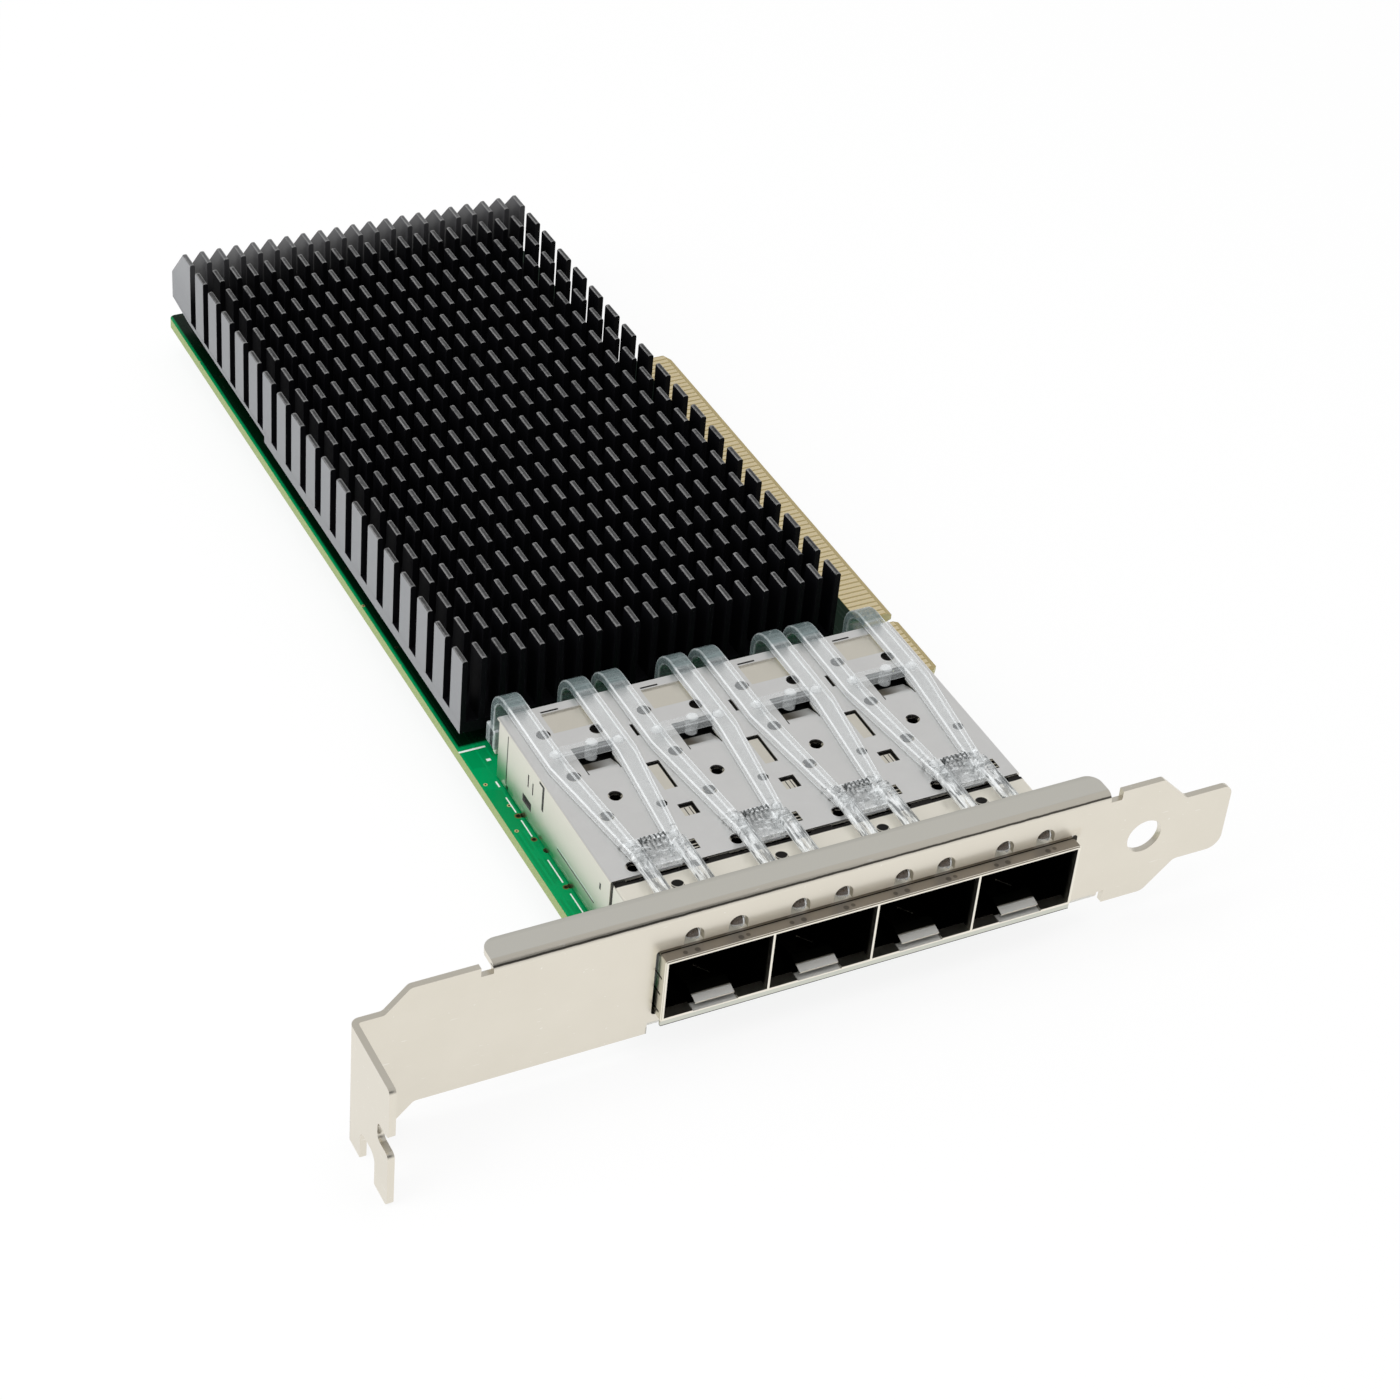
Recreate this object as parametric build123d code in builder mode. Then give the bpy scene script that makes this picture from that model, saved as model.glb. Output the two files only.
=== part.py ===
from build123d import *
import os

os.makedirs("parts", exist_ok=True)

# X runs along the bracket from its end tab to its tongue, Y from the bracket's outer face to the rear of
# the board, and Z up from the board's component side. Sizes are millimetres.

# Printed board with a card-edge tab
board_left = 36.5
board_front = 1.2
board_body = 60.75
board_rear = 167.65
board_thickness = 1.57
tab_depth = 8.25
tab_start = 46.45
tab_end = 131.15
key_middle = 59.05
key_width = 1.9
key_depth = 7.0
tab_chamfer = 1.0
bevel_length = 0.9
bevel_drop = 0.4

# Gold pads on the tab
pad_pitch = 1.0
pad_width = 0.7
pad_length = 4.5
pad_thickness = 0.04
pads_before_key = 11
pads_after_key = 71
key_to_pad = 1.5

# Port cage
port_count = 4
port_pitch = 14.25
bay_height = 8.85
cage_shift = 0.925
cage_sheet = 0.25
divider_sheet = 0.3
collar_sheet = 0.2
nose_front = -1.7
collar_rear = 12.7
cover_front = 13.4
cover_rear = 47.3
cover_skirt = 8.4
wall_rear = 43.85
seam_gap = 0.2
pin_rows = (24.3, 31.5, 38.8)
pin_width = 0.7
pin_drop = 2.5
pin_hole = 0.55
flap_drop = 0.8
flap_bend = 2.5

# Latch tongues in the cage floor
tongue_root = 9.5
latch_width = 5.3
latch_slit = 0.4
latch_rise = 1.9
latch_lip = 1.1
latch_crest = 1.3
latch_hole = 1.3

# Module sockets
socket_front = 33.6
socket_rear = 44.0
socket_width = 11.4
socket_height = 6.0

# Bracket
bracket_sheet = 0.86
bend_inner = 0.3
bracket_top = 15.28
bracket_width = 18.4
bracket_end = 120.02
end_drop = 3.17
fold_width = 4.06
shoulder = 4.1
tab_reach = 11.43
notch_width = 4.42
notch_middle = 5.42
notch_top = -1.7
side_slot = 2.7
tab_tongue = 10.19
tongue_length = 7.0
top_lip = 4.4
lip_start = 17.5
lip_end = 101.2
relief = 0.15
relief_width = 1.6
bottom_lip = 3.0
ear_depth = 11.5
ear_width = 8.0
round_hole = 2.5
round_hole_inset = 12.52
round_hole_z = 6.5
window_gap = 0.35
light_notch = 1.3

# Light pipes over the cage
pipe_gap = 0.1
pipe_thickness = 1.15
arm_outer = 6.1
arm_inner = 3.4
arm_rear = 47.5
arm_bend = 34.5
arm_front = 15.5
rod_offset = 2.95
rod_radius = 1.0
rod_reach = -0.2
hook_y = 51.7
hook_radius = 3.3
foot_height = 1.2
foot_top = 4.2

# Heatsink
sink_margin = 0.6
sink_front = 54.6
fin_columns = 21
fin_rows = 19
column_pitch = 2.741
row_pitch = 5.792
fin_thickness = 0.8
fin_length = 3.49
sink_top = 13.85
slot_floor = 3.7
base_front_z = 2.0
base_rear_z = 3.0
base_step_y = 127.0
sink_rear = 167.3
slope_start = 162.3
slope_drop = 5.5
heel_start = 160.0
heel_rise = 0.8
post_radius = 2.6
post_inset_x = 5.0
post_inset_y = 6.0

# Chips under the heatsink
chip_size = 25.0
chip_y = 92.0
lid_size = 21.0
chip_board = 1.0
pad_rise = 0.3

# Screws and nuts
screw_radius = 1.25
screw_clearance = 0.2
head_radius = 2.3
head_height = 1.3
head_bevel = 0.5
drive_length = 2.6
drive_width = 0.5
nut_radius = 2.1
fit_gap = 0.05

# The many small round holes, pegs, rods and screws are drawn with flat sides, to keep the model light
hole_sides = 8
rod_sides = 12
screw_sides = 12
head_sides = 16

# Sizes that follow from the ones above
board_right = board_left + board_body
tab_edge = board_right + tab_depth
board_bottom = -board_thickness
cage_centre = board_left + board_body / 2 + cage_shift
bay_floor = collar_sheet + cage_sheet
bay_top = bay_floor + bay_height
shell_top = bay_top + cage_sheet
cover_top = shell_top + cage_sheet
collar_top = shell_top + collar_sheet
bay_half = port_count * port_pitch / 2 - divider_sheet / 2
shell_half = bay_half + cage_sheet
cover_half = shell_half + cage_sheet
port_x = [cage_centre + (i - (port_count - 1) / 2) * port_pitch for i in range(port_count)]
divider_x = [cage_centre + (i - port_count / 2 + 1) * port_pitch for i in range(port_count - 1)]
back_rear = cover_rear - cage_sheet
back_front = back_rear - cage_sheet
floor_rear = socket_front - 1
bend_outer = bend_inner + bracket_sheet
bend_middle = bend_inner + bracket_sheet / 2
bracket_bottom = bracket_top - bracket_width
lip_low = board_bottom - bracket_sheet
tongue_top = bracket_top - shoulder
tongue_bottom = tongue_top - tab_tongue
pipe_low = cover_top + pipe_gap
rod_z = pipe_low + pipe_thickness
arm_width = arm_outer - arm_inner
sink_left = board_left + sink_margin
sink_width = (fin_columns - 1) * column_pitch + fin_thickness
sink_right = sink_left + sink_width
fin_height = sink_top - slot_floor

# Screw places: four posts under the heatsink, and two ears of the bracket under the board
post_x = (sink_left + post_inset_x, sink_right - post_inset_x)
post_y = (sink_front + post_inset_y, sink_rear - post_inset_y)
post_places = [(x, y) for x in post_x for y in post_y]
ear_x = (port_x[0] - ear_width / 4, port_x[-1] + ear_width / 4)
ear_places = [(x, ear_depth - ear_width / 2) for x in ear_x]

# Cage pins stand under the outer walls and the dividers
wall_middle = bay_half + cage_sheet / 2
wall_x = (cage_centre - wall_middle, cage_centre + wall_middle)
pin_places = [(x, y) for x in (wall_x[0], *divider_x, wall_x[1]) for y in pin_rows]


def finish(piece, name):
    piece.part.label = name
    export_step(piece.part, f"parts/{name}.step")


def ribbon(points, radius, sheet):
    """Side view of a bent strip, drawn in the current sketch along its middle line."""
    with BuildLine() as middle:
        FilletPolyline(*points, radius=radius)
    trace(middle.line, line_width=sheet)


# Circuit board: body, card-edge tab with its key slot, bevelled contact edge and drilled holes
with BuildPart() as circuit_board:
    with BuildSketch(Plane.XY.offset(board_bottom)):
        with BuildLine():
            FilletPolyline(
                (board_left, board_front),
                (board_right, board_front),
                (board_right, tab_start),
                (tab_edge, tab_start),
                (tab_edge, tab_end),
                (board_right, tab_end),
                (board_right, board_rear),
                (board_left, board_rear),
                radius=[0.6, 0.6, 0.6, 0, 0, 0.6, 1.0, 1.0],
                close=True,
            )
        make_face()
        chamfer(vertices().group_by(Axis.X)[-1], tab_chamfer)
        with Locations((tab_edge, key_middle)):
            SlotOverall(2 * key_depth, key_width, mode=Mode.SUBTRACT)
        with Locations(*post_places):
            RegularPolygon(screw_radius + screw_clearance, screw_sides, mode=Mode.SUBTRACT)
        with Locations(*ear_places):
            RegularPolygon(nut_radius + fit_gap, screw_sides, mode=Mode.SUBTRACT)
        with Locations(*pin_places):
            RegularPolygon(pin_hole, hole_sides, mode=Mode.SUBTRACT)
    extrude(amount=board_thickness)
    with BuildSketch(Plane.XZ.offset(-tab_start)):
        for face_z, drop in ((0, -bevel_drop), (board_bottom, bevel_drop)):
            with BuildLine():
                Polyline(
                    (tab_edge - bevel_length, face_z),
                    (tab_edge, face_z),
                    (tab_edge, face_z + drop),
                    close=True,
                )
            make_face()
    extrude(amount=tab_start - tab_end, mode=Mode.SUBTRACT)
finish(circuit_board, "circuit_board")

# Contact pads, the same row on each face of the tab
pad_middle = tab_edge - bevel_length - pad_length / 2
pad_y = [key_middle - key_to_pad - i * pad_pitch for i in range(pads_before_key)]
pad_y += [key_middle + key_to_pad + i * pad_pitch for i in range(pads_after_key)]
for name, z in (("edge_contacts_top", 0), ("edge_contacts_bottom", board_bottom - pad_thickness)):
    with BuildPart() as contacts:
        with BuildSketch(Plane.XY.offset(z)):
            with Locations(*[(pad_middle, y) for y in pad_y]):
                Rectangle(pad_length, pad_width)
        extrude(amount=pad_thickness)
    finish(contacts, name)

# Bracket: flat face, end tab folded forwards, top lip and bottom lip with two ears folded backwards
tab_top = bracket_top - end_drop
tab_bottom = bracket_bottom - end_drop
relief_top = bracket_top - bend_outer - relief
relief_bottom = lip_low + bend_outer + relief
lip_left = cage_centre - cover_half - window_gap - 0.4
lip_right = lip_end + 0.6
lip_reliefs = (
    (lip_start - relief_width, lip_end + relief_width, relief_top, bracket_top),
    (lip_left, lip_end + relief_width, bracket_bottom, relief_bottom),
)
window_top = collar_top + window_gap
window_bottom = -window_gap / 2
sheet_middle = bracket_sheet / 2
with BuildPart() as bracket:
    with BuildSketch(Plane.XZ):
        with BuildLine():
            FilletPolyline(
                (bend_outer, tab_top),
                (fold_width, tab_top),
                (fold_width + end_drop, bracket_top),
                (bracket_end - tongue_length - shoulder, bracket_top),
                (bracket_end - tongue_length, tongue_top),
                (bracket_end, tongue_top),
                (bracket_end, tongue_bottom),
                (bracket_end - tongue_length, tongue_bottom),
                (bracket_end - tongue_length - shoulder, bracket_bottom),
                (fold_width + end_drop + 0.8, bracket_bottom),
                (fold_width + 0.8, tab_bottom),
                (bend_outer, tab_bottom),
                radius=[0, 0.8, 0.8, 0.8, 0.8, 1.4, 2.0, 1.2, 1.5, 0.8, 1.0, 0],
                close=True,
            )
        make_face()
        for left, right, low, high in lip_reliefs:
            with Locations(((left + right) / 2, (low + high) / 2)):
                Rectangle(right - left, high - low, mode=Mode.SUBTRACT)
        with Locations((bracket_end - round_hole_inset, round_hole_z)):
            Circle(round_hole, mode=Mode.SUBTRACT)
        with Locations((cage_centre, (window_bottom + window_top) / 2)):
            RectangleRounded(
                2 * (cover_half + window_gap), window_top - window_bottom, 0.5, mode=Mode.SUBTRACT
            )
        with Locations(*[(x + side * rod_offset, rod_z - light_notch) for x in port_x for side in (-1, 1)]):
            SlotOverall(4 * light_notch, 2 * light_notch, rotation=90, mode=Mode.SUBTRACT)
    extrude(amount=-bracket_sheet)
    with BuildSketch(Plane.XY.offset(tab_bottom)):
        ribbon(
            [(bend_outer + 1, sheet_middle), (sheet_middle, sheet_middle), (sheet_middle, -tab_reach)],
            bend_middle,
            bracket_sheet,
        )
    extrude(amount=bracket_width)
    with BuildSketch(Plane.YZ):
        with Locations((-notch_middle, tab_bottom)):
            RectangleRounded(notch_width, 2 * (notch_top - tab_bottom), 1.4, mode=Mode.ADD)
        with Locations((-tab_reach, (tab_top + tab_bottom) / 2 + 0.3)):
            RectangleRounded(2 * 3.2, side_slot, 0.8, mode=Mode.ADD)
    extrude(amount=bracket_sheet, mode=Mode.SUBTRACT)
    fillet(edges().filter_by(Axis.X).group_by(Axis.Y)[0], 0.7)
    with BuildSketch(Plane.YZ.offset(lip_start)):
        top_middle = bracket_top - sheet_middle
        ribbon(
            [(sheet_middle, relief_top - 0.5), (sheet_middle, top_middle), (top_lip, top_middle)],
            bend_middle,
            bracket_sheet,
        )
    extrude(amount=lip_end - lip_start)
    fillet(edges().filter_by(Axis.Z).filter_by_position(Axis.Y, top_lip - 0.1, top_lip + 0.1), 1.8)
    low_middle = lip_low + sheet_middle
    with BuildSketch(Plane.YZ.offset(lip_left)):
        ribbon(
            [(sheet_middle, relief_bottom + 0.3), (sheet_middle, low_middle), (bottom_lip, low_middle)],
            bend_middle,
            bracket_sheet,
        )
    extrude(amount=lip_right - lip_left)
    with BuildSketch(Plane.XY.offset(lip_low)):
        for x in ear_x:
            with Locations((x, ear_depth / 2 + bend_outer / 2)):
                Rectangle(ear_width, ear_depth - bend_outer)
        fillet(vertices().group_by(Axis.Y)[-1], 2.0)
        with Locations(*ear_places):
            RegularPolygon(screw_radius + screw_clearance, screw_sides, mode=Mode.SUBTRACT)
    extrude(amount=bracket_sheet)
finish(bracket, "bracket")

# Windows in the top of the cage, measured from the cover's front edge and the port's middle
spring_front = cover_front + 19.2
spring_rear = cover_front + 22.1
peg_rear = cover_front + 24.7
spring_left = -1.4
spring_right = 3.2
peg_right = 4.6
punched_holes = (
    (-3.45, 28.5, 0.62),
    (3.45, 27.2, 0.62),
    (-3.3, 19.6, 0.62),
    (0.0, 14.4, 0.75),
    (-2.67, 11.2, 0.6),
    (4.8, 11.0, 0.75),
    (-3.7, 1.6, 0.75),
)


def spring_window(x):
    """Window for the light pipe's peg and the spring flap in front of it."""
    with BuildLine() as outline:
        Polyline(
            (x + spring_left, spring_front),
            (x + spring_right, spring_front),
            (x + spring_right, spring_rear),
            (x + peg_right, peg_rear),
            (x + spring_left, peg_rear),
            close=True,
        )
    make_face(outline.line)


# Cage cover: folded sheet with skirts, punched holes, windows and one spring flap a port
skirt_low = cover_top - cover_skirt
with BuildPart() as cage_cover:
    with BuildSketch(Plane.XZ.offset(-cover_front)):
        with Locations((cage_centre, cover_top)):
            Rectangle(2 * cover_half, cover_skirt, align=(Align.CENTER, Align.MAX))
        fillet(vertices().group_by(Axis.Y)[-1], cage_sheet)
        with Locations((cage_centre, shell_top)):
            Rectangle(2 * shell_half, cover_skirt, align=(Align.CENTER, Align.MAX), mode=Mode.SUBTRACT)
    extrude(amount=cover_front - cover_rear)
    with BuildSketch(Plane.XY.offset(skirt_low)):
        with Locations((cage_centre, (wall_rear + cover_rear) / 2)):
            Rectangle(2 * cover_half, cover_rear - wall_rear)
    extrude(amount=shell_top - skirt_low, mode=Mode.SUBTRACT)
    with BuildSketch(Plane.XY.offset(shell_top)):
        for x in port_x:
            spring_window(x)
            with Locations((x + 0.8, cover_front + 30.35)):
                Rectangle(5.7, 4.1)
            with Locations((x - 0.7, cover_front + 32.75)):
                Rectangle(2.5, 0.3)
            with Locations((x + 4.8, cover_front + 2.7)):
                Rectangle(1.6, 1.9)
            for dx, dy, radius in punched_holes:
                with Locations((x + dx, cover_front + dy)):
                    RegularPolygon(radius, hole_sides)
        for x in divider_x:
            with Locations((x + 0.1, cover_front + 16.0)):
                Rectangle(1.8, 5.6)
            with Locations((x + 0.4, cover_front + 8.9)):
                Rectangle(2.1, 2.4)
            with Locations((x + 0.8, cover_front + 25.3)):
                Rectangle(0.45, 2.4)
    extrude(amount=cage_sheet, mode=Mode.SUBTRACT)
    with BuildSketch(Plane.YZ.offset(cage_centre - cover_half)):
        with Locations((cover_front + 19.45, (shell_top + skirt_low) / 2 + 2)):
            Rectangle(0.2, 4.0)
        with Locations((cover_front + 23.9, 7.0), (cover_front + 22.5, 6.7)):
            Rectangle(0.3, 1.9)
        with Locations((cover_front + 24.0, 3.4)):
            Rectangle(2.6, 1.3)
        with Locations((cover_front + 9.3, 3.2)):
            Rectangle(10.6, 0.2)
    extrude(amount=2 * cover_half, mode=Mode.SUBTRACT)
    for x in port_x:
        with BuildSketch(Plane.YZ.offset(x + spring_left + 0.15)):
            sheet_z = cover_top - cage_sheet / 2
            flap_tip = (spring_rear, sheet_z - flap_drop)
            ribbon(
                [(spring_front - 0.2, sheet_z), (spring_front + 0.6, sheet_z), flap_tip],
                flap_bend,
                cage_sheet,
            )
    extrude(amount=spring_right - spring_left - 0.3)
finish(cage_cover, "cage_cover")

# Cage shell: inner folded sheet with its nose through the bracket, and its pins into the board
with BuildPart() as cage_shell:
    with BuildSketch(Plane.XZ.offset(-nose_front)):
        with Locations((cage_centre, shell_top)):
            Rectangle(2 * shell_half, shell_top - collar_sheet, align=(Align.CENTER, Align.MAX))
        with Locations((cage_centre, bay_top)):
            Rectangle(
                2 * bay_half,
                bay_height + cage_sheet,
                align=(Align.CENTER, Align.MAX),
                mode=Mode.SUBTRACT,
            )
    extrude(amount=nose_front - back_rear)
    with BuildSketch(Plane.XY.offset(collar_sheet)):
        with Locations((cage_centre, (wall_rear + back_rear) / 2)):
            Rectangle(2 * shell_half, back_rear - wall_rear)
    extrude(amount=bay_top - collar_sheet, mode=Mode.SUBTRACT)
    with BuildSketch(Plane.XY.offset(bay_top)):
        for x in port_x:
            with Locations((x + (spring_left + peg_right) / 2, (spring_front + peg_rear) / 2)):
                Rectangle(peg_right - spring_left + 0.4, peg_rear - spring_front + 0.4)
            with Locations((x, (collar_rear + cover_front) / 2)):
                Rectangle(port_pitch - 3, cover_front - collar_rear)
            with Locations((x, collar_rear - 2.5)):
                RegularPolygon(0.75, hole_sides)
            for dx, dy, radius in punched_holes[3:]:
                with Locations((x + dx, cover_front + dy)):
                    RegularPolygon(radius, hole_sides)
    extrude(amount=cage_sheet, mode=Mode.SUBTRACT)
    with BuildSketch(Plane.XY.offset(collar_sheet)):
        with Locations(*[(x, y) for x in wall_x for y in pin_rows]):
            Rectangle(cage_sheet, pin_width)
    extrude(amount=-pin_drop)
finish(cage_shell, "cage_shell")

# Dividers between the bays, with a sprung tongue in each face
for number, x in enumerate(divider_x, 1):
    with BuildPart() as cage_divider:
        with BuildSketch(Plane.YZ.offset(x - divider_sheet / 2)):
            with Locations((nose_front, bay_floor)):
                Rectangle(wall_rear - nose_front, bay_height, align=Align.MIN)
            with Locations((cover_front + 7, bay_floor + bay_height / 2)):
                Rectangle(10, 3.6, mode=Mode.SUBTRACT)
                Rectangle(9.4, 2.8)
                with Locations((-5, 0)):
                    Rectangle(2, 2.8)
            with Locations(*[(y, bay_floor) for y in pin_rows]):
                Rectangle(pin_width, pin_drop + cage_sheet, align=(Align.CENTER, Align.MAX))
        extrude(amount=divider_sheet)
    finish(cage_divider, f"cage_divider_{number}")

# Cage floor: bottom sheet with slots for the pins and one latch tongue a port, bent up to a crest
floor_middle = bay_floor - cage_sheet / 2
with BuildPart() as cage_floor:
    with BuildSketch(Plane.XY.offset(collar_sheet)):
        with Locations((cage_centre, nose_front)):
            Rectangle(2 * bay_half, floor_rear - nose_front, align=(Align.CENTER, Align.MIN))
        with Locations(*[(x, nose_front) for x in port_x]):
            Rectangle(
                latch_width + 2 * latch_slit,
                tongue_root - nose_front,
                align=(Align.CENTER, Align.MIN),
                mode=Mode.SUBTRACT,
            )
        with Locations(*[(x, y) for x in divider_x for y in pin_rows]):
            Rectangle(divider_sheet + 2 * fit_gap, pin_width + 2 * fit_gap, mode=Mode.SUBTRACT)
    extrude(amount=cage_sheet)
    for x in port_x:
        with BuildSketch(Plane.YZ.offset(x - latch_width / 2)):
            ribbon(
                [
                    (tongue_root + 0.5, floor_middle),
                    (tongue_root - 0.5, floor_middle),
                    (latch_crest, latch_rise),
                    (nose_front + 0.4, latch_lip),
                ],
                [2.0, 0.6],
                cage_sheet,
            )
    extrude(amount=latch_width)
    with BuildSketch(Plane.XY):
        for x in port_x:
            with BuildLine():
                Polyline(
                    (x - latch_hole, latch_crest + 0.8),
                    (x + latch_hole, latch_crest + 0.8),
                    (x, latch_crest + 0.8 + 2 * latch_hole),
                    close=True,
                )
            make_face()
    extrude(amount=bay_height / 2, mode=Mode.SUBTRACT)
finish(cage_floor, "cage_floor")

# Cage back: rear wall with two flaps that meet the shell's side walls at the seams
with BuildPart() as cage_back:
    with BuildSketch(Plane.XY.offset(collar_sheet)):
        with Locations((cage_centre, back_rear)):
            Rectangle(2 * shell_half, back_rear - wall_rear - seam_gap, align=(Align.CENTER, Align.MAX))
        with Locations((cage_centre, back_front)):
            Rectangle(
                2 * bay_half,
                back_front - wall_rear,
                align=(Align.CENTER, Align.MAX),
                mode=Mode.SUBTRACT,
            )
    extrude(amount=bay_top - collar_sheet)
finish(cage_back, "cage_back")

# Spring collar round the cage's nose, slit into fingers at its sides
with BuildPart() as emi_collar:
    with BuildSketch(Plane.XZ.offset(-nose_front - 0.1)):
        with Locations((cage_centre, collar_top / 2)):
            RectangleRounded(2 * (shell_half + collar_sheet), collar_top, 0.35)
            Rectangle(2 * shell_half, collar_top - 2 * collar_sheet, mode=Mode.SUBTRACT)
    extrude(amount=nose_front + 0.1 - collar_rear)
    with BuildSketch(Plane.YZ.offset(cage_centre - cover_half)):
        with Locations(*[(0.6, z) for z in (1.2, 4.0, 6.6)]):
            Rectangle(3.4, 0.35)
    extrude(amount=2 * cover_half, mode=Mode.SUBTRACT)
finish(emi_collar, "emi_collar")

# Module sockets at the back of the bays
for number, x in enumerate(port_x, 1):
    with BuildPart() as port_connector:
        with BuildSketch(Plane.YZ.offset(x - socket_width / 2)):
            with BuildLine():
                Polyline(
                    (socket_front, 0),
                    (socket_front, socket_height - 1),
                    (socket_front + 1.5, socket_height),
                    (socket_rear - 2.5, socket_height),
                    (socket_rear, socket_height / 2),
                    (socket_rear, 0),
                    close=True,
                )
            make_face()
        extrude(amount=socket_width)
        with BuildSketch(Plane.XZ.offset(-socket_front)):
            with Locations((x, socket_height / 2)):
                Rectangle(socket_width - 2, 1.4)
        extrude(amount=-5, mode=Mode.SUBTRACT)
    finish(port_connector, f"port_connector_{number}")

# Light pipes: two arms over the cover, hooks down to the lamps, a rear bridge with its peg, a front clip
# and two rods into the bracket's notches
hook_middle = pipe_low + pipe_thickness / 2
peg_y = (spring_rear + peg_rear) / 2
rod_outer = rod_offset + rod_radius * 0.6
rod_inner = rod_offset - rod_radius * 1.2
for number, x in enumerate(port_x, 1):
    with BuildPart() as light_pipe:
        with BuildSketch(Plane.XY.offset(pipe_low)):
            for side in (-1, 1):
                with BuildLine():
                    Polyline(
                        (x + side * arm_inner, arm_rear),
                        (x + side * arm_outer, arm_rear),
                        (x + side * arm_outer, arm_bend),
                        (x + side * rod_outer, arm_front),
                        (x + side * rod_inner, arm_front),
                        (x + side * arm_inner, arm_bend),
                        close=True,
                    )
                make_face()
            with Locations((x, peg_y)):
                Rectangle(2 * arm_inner + 0.5, 1.9)
            with Locations((x, cover_front - 0.5)):
                Rectangle(2 * rod_inner + 0.5, 5.4, align=(Align.CENTER, Align.MIN))
        extrude(amount=pipe_thickness)
        for side in (-1, 1):
            with BuildSketch(Plane.YZ.offset(x + side * (arm_outer + arm_inner) / 2 - arm_width / 2)):
                ribbon(
                    [(arm_rear - 0.5, hook_middle), (hook_y, hook_middle), (hook_y, foot_height)],
                    hook_radius,
                    pipe_thickness,
                )
                with Locations((hook_y + 0.4, foot_height)):
                    Rectangle(2.6, foot_top - foot_height, align=(Align.CENTER, Align.MIN))
        extrude(amount=arm_width)
        with BuildSketch(Plane.XZ.offset(-arm_front - 0.8)):
            with Locations(*[(x + side * rod_offset, rod_z) for side in (-1, 1)]):
                RegularPolygon(rod_radius, rod_sides)
        extrude(amount=arm_front + 0.8 - rod_reach)
        with BuildSketch(Plane.XY.offset(shell_top - 0.8)):
            with Locations((x + 0.8, peg_y)):
                RegularPolygon(0.85, hole_sides)
        extrude(amount=rod_z + 0.5 - shell_top + 0.8)
        with BuildSketch(Plane.XY.offset(rod_z)):
            with Locations((x, cover_front + 3.9)):
                Rectangle(3.4, 0.8)
            with Locations(*[(x + side * 4.4, peg_y - 0.3) for side in (-1, 1)]):
                RegularPolygon(0.8, hole_sides)
            with Locations(*[(x + side * rod_offset, cover_front + 4.1) for side in (-1, 1)]):
                RegularPolygon(0.65, hole_sides)
        extrude(amount=0.6)
    finish(light_pipe, f"light_pipe_{number}")

# Lamps on the board under the hooks, and a resistor in front of each
lamp_places = [(x + side * (arm_outer + arm_inner) / 2, hook_y) for x in port_x for side in (-1, 1)]
with BuildPart() as status_leds:
    with BuildSketch():
        with Locations(*lamp_places):
            Rectangle(1.6, 0.8)
    extrude(amount=0.7)
finish(status_leds, "status_leds")

with BuildPart() as led_resistors:
    with BuildSketch():
        with Locations(*[(x, cover_rear + 1.6) for x, y in lamp_places]):
            Rectangle(1.0, 0.5)
    extrude(amount=0.35)
finish(led_resistors, "led_resistors")

# Heatsink: extruded comb, sawn across between the rows, sloped at the rear and relieved underneath
sink_x = (sink_left + sink_right) / 2
with BuildPart() as heatsink:
    with BuildSketch(Plane.XZ.offset(-sink_front)):
        with Locations((sink_x, base_front_z)):
            Rectangle(sink_width, slot_floor - base_front_z, align=(Align.CENTER, Align.MIN))
        with Locations((sink_x, slot_floor)):
            with GridLocations(column_pitch, 1, fin_columns, 1):
                Rectangle(fin_thickness, fin_height, align=(Align.CENTER, Align.MIN))
    extrude(amount=sink_front - sink_rear)
    with BuildSketch(Plane.YZ.offset(sink_left)):
        with Locations(*[(sink_front + row * row_pitch, slot_floor) for row in range(1, fin_rows)]):
            Rectangle(row_pitch - fin_length, fin_height + 1, align=(Align.MAX, Align.MIN))
        with Locations((base_step_y, base_rear_z)):
            Rectangle(sink_rear - base_step_y, base_rear_z - base_front_z, align=(Align.MIN, Align.MAX))
        with BuildLine():
            Polyline(
                (slope_start, sink_top),
                (sink_rear, sink_top),
                (sink_rear, sink_top - slope_drop),
                close=True,
            )
        make_face()
        with BuildLine():
            Polyline(
                (heel_start, base_rear_z),
                (sink_rear, base_rear_z),
                (sink_rear, base_rear_z + heel_rise),
                close=True,
            )
        make_face()
    extrude(amount=sink_width, mode=Mode.SUBTRACT)
    with BuildSketch():
        with Locations(*post_places):
            RegularPolygon(post_radius, screw_sides)
    extrude(amount=slot_floor - 0.4)
    with BuildSketch():
        with Locations(*post_places):
            RegularPolygon(screw_radius + fit_gap, screw_sides)
    extrude(amount=slot_floor - 0.8, mode=Mode.SUBTRACT)
finish(heatsink, "heatsink")


def pan_screws(places, head_top, reach, name):
    """Pan-head screws pointing up, with a cross recess in each head."""
    with BuildPart() as screws:
        with BuildSketch(Plane.XY.offset(head_top - head_height)):
            with Locations(*places):
                RegularPolygon(head_radius, head_sides)
        extrude(amount=head_height)
        chamfer(edges().group_by(Axis.Z)[0], head_bevel)
        with BuildSketch(Plane.XY.offset(head_top)):
            with Locations(*places):
                RegularPolygon(screw_radius, screw_sides)
        extrude(amount=reach)
        with BuildSketch(Plane.XY.offset(head_top - head_height)):
            with Locations(*places):
                Rectangle(drive_length, drive_width)
                Rectangle(drive_width, drive_length)
        extrude(amount=head_height / 2, mode=Mode.SUBTRACT)
    finish(screws, name)


pan_screws(post_places, board_bottom, board_thickness + base_front_z, "heatsink_screws")
pan_screws(ear_places, lip_low, bracket_sheet + board_thickness - 0.2, "bracket_screws")

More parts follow.
